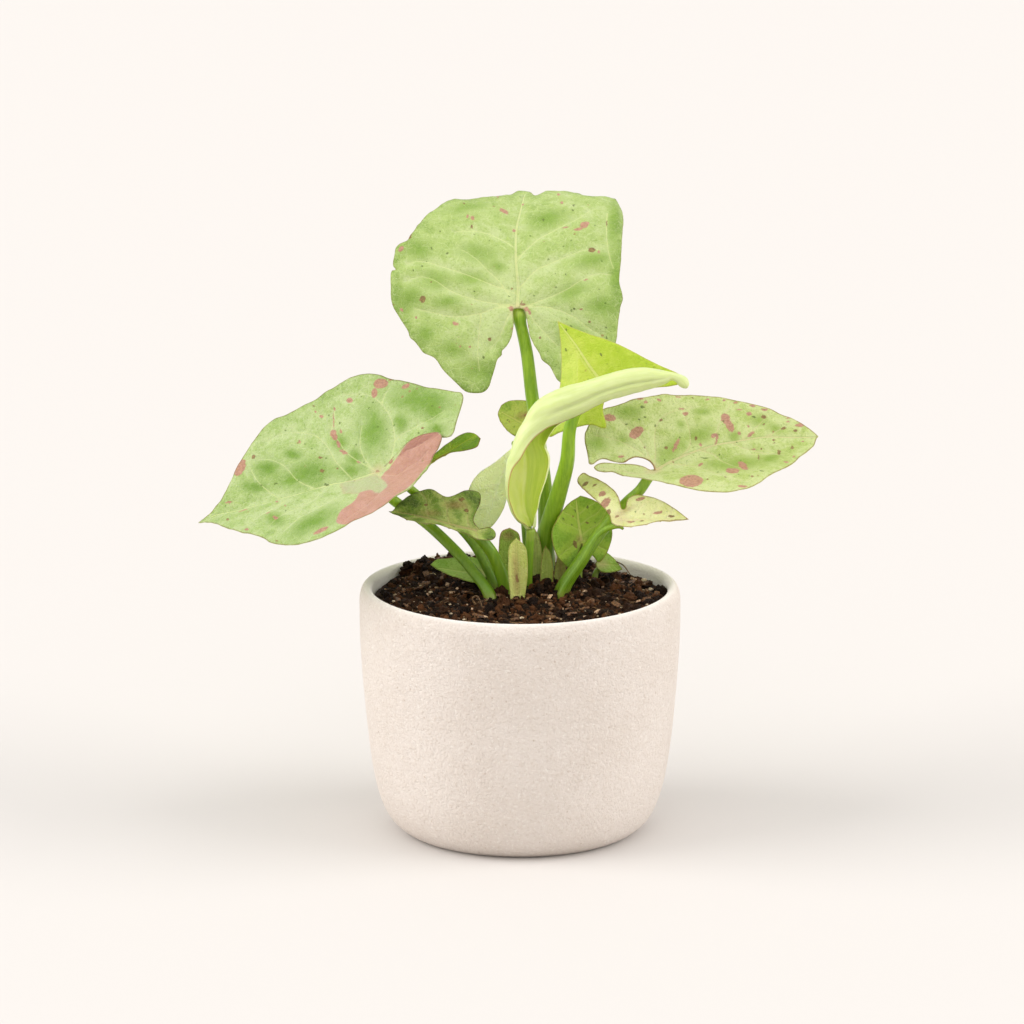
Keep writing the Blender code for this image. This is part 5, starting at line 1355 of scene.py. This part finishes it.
def turned_by(points, angles):
    """Points turned about X, then Y, then Z, by angles in radians."""
    a, b, c = angles
    rx = np.array([[1, 0, 0], [0, math.cos(a), -math.sin(a)], [0, math.sin(a), math.cos(a)]])
    ry = np.array([[math.cos(b), 0, math.sin(b)], [0, 1, 0], [-math.sin(b), 0, math.cos(b)]])
    rz = np.array([[math.cos(c), -math.sin(c), 0], [math.sin(c), math.cos(c), 0], [0, 0, 1]])
    return points @ (rz @ ry @ rx).T


def scatter(rng, count, reach):
    """Places on the soil, evenly spread."""
    places = []
    for _ in range(count):
        radius = reach * math.sqrt(rng.random())
        angle = rng.random() * 2 * math.pi
        places.append((radius * math.cos(angle), radius * math.sin(angle)))
    return places


def swelling(ball, seed, broad, fine):
    """How far each point of a ball swells, from two sizes of noise."""
    shift = Vector((seed, seed, seed))
    return 1 + np.array([[broad * noise.noise(Vector(point) * 1.3 + shift)
                          + fine * noise.noise(Vector(point) * 3.6 + shift)]
                         for point in ball])


def make_soil():
    """The soil's bed and, strewn on it, crumbs, clumps, chips, perlite and fibres."""
    wall = POT_INSIDE[1:-1]
    points = [(0, 0, soil_height(0, 0))]
    for ring in range(1, SOIL_RINGS + 1):
        points += ring_of(SOIL_REACH * ring / SOIL_RINGS, 0, SOIL_AROUND)
    points = np.array(points, float)
    rough = 1.3 * noise_at(points, 6.5, 2.0) + 1.0 * noise_at(points, 2.6, 6.0)
    rough += 0.5 * noise_at(points, 1.1, 11.0)
    for k, (x, y, _) in enumerate(points):
        level = min(1, (SOIL_REACH + 1 - math.hypot(x, y)) / 3)
        points[k, 2] = soil_height(x, y) + rough[k] * level
    for radius, height in wall:
        ring = ring_of(radius - SOIL_GAP, height + SOIL_GAP, SOIL_AROUND)
        points = np.vstack([points, ring])
    points = np.vstack([points, (0, 0, POT_INSIDE[-1][1] + SOIL_GAP)])
    faces = turned_faces(SOIL_RINGS + len(wall), SOIL_AROUND)
    tone = 0.25 + 0.3 * noise_at(points, 3.0, 3.0)
    material = soil_material()
    mesh = make_mesh("soil_bed", points, faces, {"tone": tone})
    piece("soil_bed", mesh, material, "potting_soil", "soil")
    rng = np.random.default_rng(11)
    for crumbs in CRUMBS:
        make_crumbs(rng, material, *crumbs)
    make_clumps(rng, material)
    make_chips(rng, *BARK_CHIPS)
    make_perlite(rng)
    make_fibres(rng)
    make_chips(rng, *PALE_CHIPS)


def make_crumbs(rng, material, name, count, small, large, rounds):
    ball, triangles = ball_shape(rounds)
    heap = Heap()
    for x, y in scatter(rng, count, SOIL_REACH - 1.5):
        size = small + (large - small) * rng.random() ** 2
        stretch = 0.6 + 0.7 * rng.random(3)
        swell = swelling(ball, rng.random() * 90, 0.5, 0.4)
        shape = turned_by(ball * swell * stretch * size, rng.random(3) * 6.3)
        rise = soil_height(x, y) + size * (rng.random() * 0.7)
        heap.add(shape + (x, y, rise), triangles, rng.random() ** 1.7)
    piece(name, heap.mesh(name, toned=True), material, "potting_soil", smooth=False)


def make_clumps(rng, material):
    """Loose clumps heaped against the back left of the rim, and some before a stem."""
    ball, triangles = ball_shape(3)
    places = []
    for _ in range(RIM_CLUMPS):
        angle = math.radians(103 + 44 * rng.random())
        radius = 53.5 - 9 * rng.random()
        high = POT_HEIGHT - 2.6 + 3.6 * rng.random() ** 1.6
        places.append((radius * math.cos(angle), radius * math.sin(angle), high,
                       0.5 + 0.9 * rng.random()))
    x, y = FOOT_CLUMPS_AT
    for _ in range(FOOT_CLUMPS):
        spread = rng.normal(0, 1.5, 3)
        places.append((x + spread[0], y + 0.5 * spread[1],
                       soil_height(x, y) + 2.2 + 0.8 * spread[2], 0.6 + 0.8 * rng.random()))
    heap = Heap()
    for *place, size in places:
        swell = swelling(ball, rng.random() * 90, 0.6, 0.45)
        stretch = 0.6 + 0.8 * rng.random(3)
        shape = turned_by(ball * swell * stretch * size, rng.random(3) * 6.3)
        heap.add(shape + place, triangles, rng.random() ** 2)
    piece("soil_clumps", heap.mesh("soil_clumps", toned=True), material, "potting_soil",
          smooth=False)


def make_chips(rng, name, count, small, more, dark, pale):
    """Thin worn chips that lie almost flat."""
    box = np.array([(x, y, z) for x in (-1, 1) for y in (-1, 1) for z in (-1, 1)], float)
    sides = [(0, 1, 3, 2), (4, 6, 7, 5), (0, 4, 5, 1), (2, 3, 7, 6), (0, 2, 6, 4), (1, 5, 7, 3)]
    heap = Heap()
    for x, y in scatter(rng, count, SOIL_REACH - 3):
        size = small + more * rng.random() ** 2
        shape = box * (size, size * (0.35 + 0.4 * rng.random()), 0.25 + 0.2 * rng.random())
        shape = shape * (1 + 0.35 * (rng.random((8, 3)) - 0.5))
        shape = turned_by(shape, (0.9 * (rng.random() - 0.5), 0.9 * (rng.random() - 0.5),
                                  6.3 * rng.random()))
        heap.add(shape + (x, y, soil_height(x, y) + 0.9 + 0.5 * rng.random()), sides)
    thing = piece(name, heap.mesh(name), plain_grain(name, dark, pale, 0.6), "potting_soil")
    bevel = thing.modifiers.new("Worn", "BEVEL")
    bevel.width = 0.15 * MM
    bevel.segments = 2


def make_perlite(rng):
    ball, triangles = ball_shape(2)
    heap = Heap()
    for x, y in scatter(rng, PERLITE_BITS, SOIL_REACH - 3):
        size = 0.25 + 1.0 * rng.random() ** 4
        shape = ball * (0.75 + 0.5 * rng.random((len(ball), 1))) * size * (1, 0.8, 0.6)
        heap.add(shape + (x, y, soil_height(x, y) + 1.0 + 0.6 * rng.random()), triangles)
    piece("perlite_bits", heap.mesh("perlite_bits"),
          plain_grain("perlite", (150, 122, 88), (222, 204, 172), 0.7), "potting_soil")


def make_fibres(rng):
    """Fine roots that lie bent on the soil, a straw and a curled husk."""
    heap = Heap()
    for x, y in scatter(rng, FIBRES, SOIL_REACH - 5):
        heading = rng.random() * 6.3
        length = 2.5 + 6 * rng.random() ** 2
        bend = (rng.random() - 0.5) * 2.2
        path, spot = [], np.array([x, y], float)
        for k in range(FIBRE_BENDS + 1):
            arch = 0.9 * math.sin(k / FIBRE_BENDS * math.pi) * rng.random()
            path.append((*spot, soil_height(*spot) + 0.9 + arch))
            heading += bend / FIBRE_BENDS
            ahead = np.array([math.cos(heading), math.sin(heading)])
            spot = spot + length / FIBRE_BENDS * ahead
        heap.add(*tube(path, np.linspace(0.14, 0.07, len(path)), 5))
    for path, thick in ((STRAW, 0.3), (CURL, 0.42)):
        line = smooth_line(path, 0.5)
        heap.add(*tube(line, np.linspace(thick, 0.6 * thick, len(line)), 6))
    piece("root_fibres", heap.mesh("root_fibres"),
          plain_grain("fibre", (70, 48, 28), (150, 116, 74), 0.7), "potting_soil")


def tube(path, radii, around):
    """Points and faces of a closed tube along a path."""
    path = np.asarray(path, float)
    ahead = np.gradient(path, axis=0)
    ahead /= np.linalg.norm(ahead, axis=1)[:, None]
    side = np.cross(ahead[0], (0.3, 1, 0.2))
    points = []
    for middle, along, radius in zip(path, ahead, radii):
        side = side - along * side.dot(along)
        side /= np.linalg.norm(side)
        front = np.cross(along, side)
        for k in range(around):
            angle = 2 * math.pi * k / around
            points.append(middle + radius * (math.cos(angle) * side + math.sin(angle) * front))
    points += [path[0], path[-1]]
    last = (len(path) - 1) * around
    faces = []
    for k in range(around):
        j = (k + 1) % around
        faces += [(start + k, start + j, start + j + around, start + k + around)
                  for start in range(0, last, around)]
        faces += [(len(points) - 2, j, k), (len(points) - 1, last + k, last + j)]
    return np.array(points), faces


def stem_top(stem, below):
    """Where the solid stem ends, clear of the under side of its blade."""
    leaf = LEAVES[stem["leaf"]]
    at, upper = np.array(leaf["at"]), leaf_axes(leaf)[:, 2]
    along = (at - below) / np.linalg.norm(at - below)
    slant = math.sqrt(max(0, 1 - along.dot(upper) ** 2))
    clear = BLADE_THICKNESS + stem.get("gap", STEM_GAP) + stem["radius"][0] * slant
    return at - upper * clear


def stem_points(stem):
    """What a stem's middle runs through, from under its blade down into the soil."""
    points = [np.array(point, float) for point in stem["points"]]
    if "leaf" in stem:
        leaf = LEAVES[stem["leaf"]]
        forward, _, upper = leaf_axes(leaf).T
        points.insert(0, stem_top(stem, points[0]))
        ahead = np.array(leaf["at"], float) + forward * 1.1 * stem["radius"][0]
        points.insert(0, ahead - upper * STEM_UNDER_BLADE)
    return [*points, points[-1] - (0, 0, STEM_BELOW_SOIL)]


def make_stem(name, stem, material):
    """A leaf's stem as a tapered tube with low ridges, which swells a little at its foot."""
    points = stem_points(stem)
    path = smooth_line(points, 1.2)
    length = lengths_along(path)
    top, low = stem["radius"]
    radii = top + (low - top) * np.clip(1.15 * np.linspace(0, 1, len(path)), 0, 1)
    if "leaf" in stem:
        radii *= 1 - stem.get("taper", 0.6) * np.exp(-(length / top) ** 2)
        radii *= 1 + stem.get("flare", 0.0) * np.exp(-((length - 1.8 * top) / (0.9 * top)) ** 2)
    radii *= 1 + 0.12 * np.exp(-((length[-1] - STEM_BELOW_SOIL - length) / 3.0) ** 2)
    shape, faces = tube(path, radii, STEM_AROUND)
    turn = np.tile(2 * math.pi * np.arange(STEM_AROUND) / STEM_AROUND, len(path))
    ridges = 1 + 0.02 * np.cos(9 * turn) + 0.03 * np.cos(2 * turn)
    middle = np.repeat(path, STEM_AROUND, 0)
    shape[:-2] = middle + (shape[:-2] - middle) * ridges[:, None]
    values = {"along": np.append(np.repeat(length, STEM_AROUND), [0, length[-1]]),
              "rise": shape[:, 2] - points[-2][2]}
    mesh = make_mesh(name + "_petiole", shape, faces, values)
    piece(name + "_petiole", mesh, material, "green_stem", name)


def stem_material():
    s = Shader("petiole_green")
    place = s.place()
    along, rise = s.value("along"), s.value("rise")
    streak = s.noise(s.place(1300, 1300, 90), 1.0, 3, 0.6)
    patch = s.noise(place, 0.12, 3, 0.5)
    fine = s.noise(place, 1.5, 3, 0.6)
    colour = s.mix(s.ramp(streak, 0.3, 0.7), rgb(128, 168, 20), rgb(154, 190, 38))
    colour = s.tint(colour, patch, 0.45, 0.7, 0.5, rgb(104, 148, 20))
    colour = s.tint(colour, fine, 0.6, 0.8, 0.2, rgb(178, 208, 88))
    colour = s.tint(colour, rise, 34, 4, 0.6, rgb(84, 122, 8))
    colour = s.tint(colour, rise, 3, 0, 0.4, rgb(150, 144, 74))
    colour = s.tint(colour, along, 5, 3.5, 0.2, rgb(186, 178, 100))
    s.set(Base_Color=colour, Normal=s.bump(s.sum("ADD", streak, fine), 0.15, 0.0003),
          Roughness=0.4, Subsurface_Weight=0.2, Subsurface_Radius=(0.6, 1.0, 0.25),
          Subsurface_Scale=0.002)
    return s.material


def rolled_ridge(far, share, angle):
    """How far the rolled leaf stands out or in: veins, swellings, crease and pouch fold."""
    ridge = 0.07 * math.cos(2 * math.pi * share * 6 + 0.05 * far)
    ridge += 0.4 * noise.noise(Vector((far / 9, share * 4, 2.5)))
    ridge += 0.15 * noise.noise(Vector((far / 3, share * 12, 6.5)))
    start, end = ROLL_TRUNK
    trunk = min(1, max(0, (far - start) / 8)) * min(1, max(0, (end - far) / 8))
    crease = angle - ROLL_CREASE
    ridge -= 0.9 * trunk * math.exp(-(crease / 7) ** 2)
    ridge += 0.5 * trunk * math.exp(-((crease + 22) / 14) ** 2)
    pouch = min(1, max(0, (POUCH_END - far) / 8))
    return ridge - 1.2 * pouch * math.exp(-((share - POUCH_RIDGE) / 0.05) ** 2)


def rolled_row(row, along, far):
    """One section of the rolled leaf: its outer points, inner points and sheet values."""
    side = np.cross((0, -1, 0), along)
    side /= np.linalg.norm(side)
    front = np.cross(along, side)
    front /= np.linalg.norm(front)
    outer, inner, sheet = [], [], []
    for k, angle in enumerate(np.linspace(row[5], row[6], ROLL_AROUND)):
        share = k / (ROLL_AROUND - 1)
        turn = math.radians(angle)
        out = math.cos(turn) * side * row[3] + math.sin(turn) * front * row[4]
        direction = out / np.linalg.norm(out)
        ridge = min(0.15, rolled_ridge(far, share, angle) * min(row[3], 4) / 4)
        outer.append(row[:3] + out + direction * ridge)
        thin = SKIN_THICKNESS * min(1, 0.35 + 8 * min(share, 1 - share))
        inner.append(outer[-1] - direction * thin)
        sheet.append((far, share * ROLL_AROUND, share))
    return outer, inner, sheet


def rolled_faces(rings, around):
    """Faces of both skins of an open sheet, then of its long edges and of its two ends."""
    count = rings * around
    faces = []
    for ring in range(rings - 1):
        for a in range(ring * around, (ring + 1) * around - 1):
            b = a + around
            faces.append((a, a + 1, b + 1, b))
            faces.append((count + a, count + b, count + b + 1, count + a + 1))
    for ring in range(rings - 1):
        a, b = ring * around, (ring + 1) * around
        faces.append((a, b, b + count, a + count))
        a, b = a + around - 1, b + around - 1
        faces.append((a + count, b + count, b, a))
    last = (rings - 1) * around
    for k in range(around - 1):
        faces.append((k, k + 1, k + 1 + count, k + count))
        a = last + k
        faces.append((a + count, a + 1 + count, a + 1, a))
    return faces


def make_rolled_leaf():
    """The newest leaf: an open sheet lofted through its sections, with lengthwise veins."""
    rows = smooth_line(ROLLED_SECTIONS, 0.8)
    ahead = np.gradient(rows[:, :3], axis=0)
    made = [rolled_row(*row) for row in zip(rows, ahead, lengths_along(rows[:, :3]))]
    outer, inner, sheet = (np.concatenate(part) for part in zip(*made))
    edge = np.minimum(sheet[:, 2], 1 - sheet[:, 2]) * 30
    values = {"sheet": np.tile(sheet, (2, 1)), "inner": np.repeat([0, 1], len(sheet)),
              "margin": np.tile(edge, 2)}
    faces = rolled_faces(len(rows), ROLL_AROUND)
    mesh = make_mesh("rolled_blade", np.vstack([outer, inner]), faces, values)
    shape = bmesh.new()
    shape.from_mesh(mesh)
    bmesh.ops.recalc_face_normals(shape, faces=shape.faces)
    shape.to_mesh(mesh)
    shape.free()
    piece("rolled_blade", mesh, rolled_material(), "yellow_green_leaf", "rolled_leaf")


def rolled_material():
    """Pale outside, yellow-green inside with a painted lit facet, and a thin hem along both long
    edges.
    """
    s = Shader("rolled_blade")
    sheet, inner, margin = s.vector("sheet"), s.value("inner"), s.value("margin")
    streak = s.noise(s.scaled(sheet, 0.06, 0.3, 0), 1.0, 3, 0.6)
    patch = s.noise(s.scaled(sheet, 0.12, 0.12, 0), 1.0, 3, 0.5)
    fine = s.noise(s.scaled(sheet, 1, 1, 0), 1.0, 3, 0.6)
    share = s.part(sheet, 2)
    outside = s.mix(s.ramp(streak, 0.3, 0.7), rgb(216, 228, 162), rgb(206, 220, 146))
    outside = s.tint(outside, patch, 0.4, 0.7, 0.4, rgb(196, 213, 130))
    within = s.mix(s.ramp(streak, 0.3, 0.7), rgb(208, 224, 104), rgb(190, 212, 82))
    # Painted light: the inner face is paler where share is below about 0.53, standing in for
    # light on that facet.
    pale = s.mix(s.ramp(patch, 0.35, 0.65), rgb(232, 242, 150), rgb(222, 236, 128))
    within = s.mix(s.ramp(share, 0.56, 0.53), within, pale)
    colour = s.mix(inner, outside, within)
    colour = s.tint(colour, fine, 0.6, 0.8, 0.15, rgb(222, 234, 170))
    hem = s.mix(s.ramp(share, 0.4, 0.6), rgb(178, 134, 80), rgb(232, 236, 170))
    colour = s.tint(colour, margin, 0.8, 0.25, 0.8, hem)
    height = s.sum("ADD", streak, s.sum("MULTIPLY", fine, 0.4))
    s.set(Base_Color=colour, Normal=s.bump(height, 0.25, 0.0004), Roughness=0.45,
          Subsurface_Weight=0.4, Subsurface_Radius=(0.8, 0.9, 0.3), Subsurface_Scale=0.0016)
    return s.material


def make_floor():
    shape = bpy.data.meshes.new("floor")
    corners = [(x * FLOOR_REACH_METRES, y * FLOOR_REACH_METRES, 0)
               for x, y in ((-1, -1), (1, -1), (1, 1), (-1, 1))]
    shape.from_pydata(corners, [], [(0, 1, 2, 3)])
    s = Shader("pale_floor")
    s.set(Base_Color=rgb(*FLOOR_COLOUR), Roughness=0.9, Specular_IOR_Level=0.1)
    shape.materials.append(s.material)
    floor = bpy.data.objects.new("floor", shape)
    bpy.context.scene.collection.objects.link(floor)


def make_light():
    world = bpy.data.worlds.new("soft_room")
    world.use_nodes = True
    background = world.node_tree.nodes["Background"]
    background.inputs[0].default_value = WORLD_COLOUR
    background.inputs[1].default_value = WORLD_STRENGTH
    bpy.context.scene.world = world
    for name, side, height, strength, softness in SUNS:
        lamp = bpy.data.lights.new(name, "SUN")
        lamp.energy = strength
        lamp.angle = math.radians(softness)
        lamp.color = SUN_COLOUR
        thing = bpy.data.objects.new(name, lamp)
        thing.rotation_euler = (math.radians(90 - height), 0, math.radians(side))
        bpy.context.scene.collection.objects.link(thing)


def make_camera():
    camera = bpy.data.cameras.new("camera")
    camera.sensor_width = SENSOR_WIDTH
    camera.lens = SENSOR_WIDTH * FOCAL_PIXELS / IMAGE
    camera.clip_end = 100
    view = bpy.data.objects.new("camera", camera)
    view.location = [MM * value for value in CAMERA_AT]
    view.rotation_euler = (math.radians(90 - CAMERA_PITCH), 0, 0)
    bpy.context.scene.collection.objects.link(view)
    bpy.context.scene.camera = view
    bpy.context.scene.view_settings.view_transform = "Standard"


make_pot()
make_soil()
green = stem_material()
for name, stem in STEMS.items():
    make_stem(name, stem, green)
for name, leaf in LEAVES.items():
    look = LOOKS[name]
    mesh = make_blade(name + "_blade", leaf, look)
    piece(name + "_blade", mesh, leaf_material(name, look), leaf["slot"], name)
make_rolled_leaf()
make_floor()
make_light()
make_camera()
bpy.context.view_layer.update()
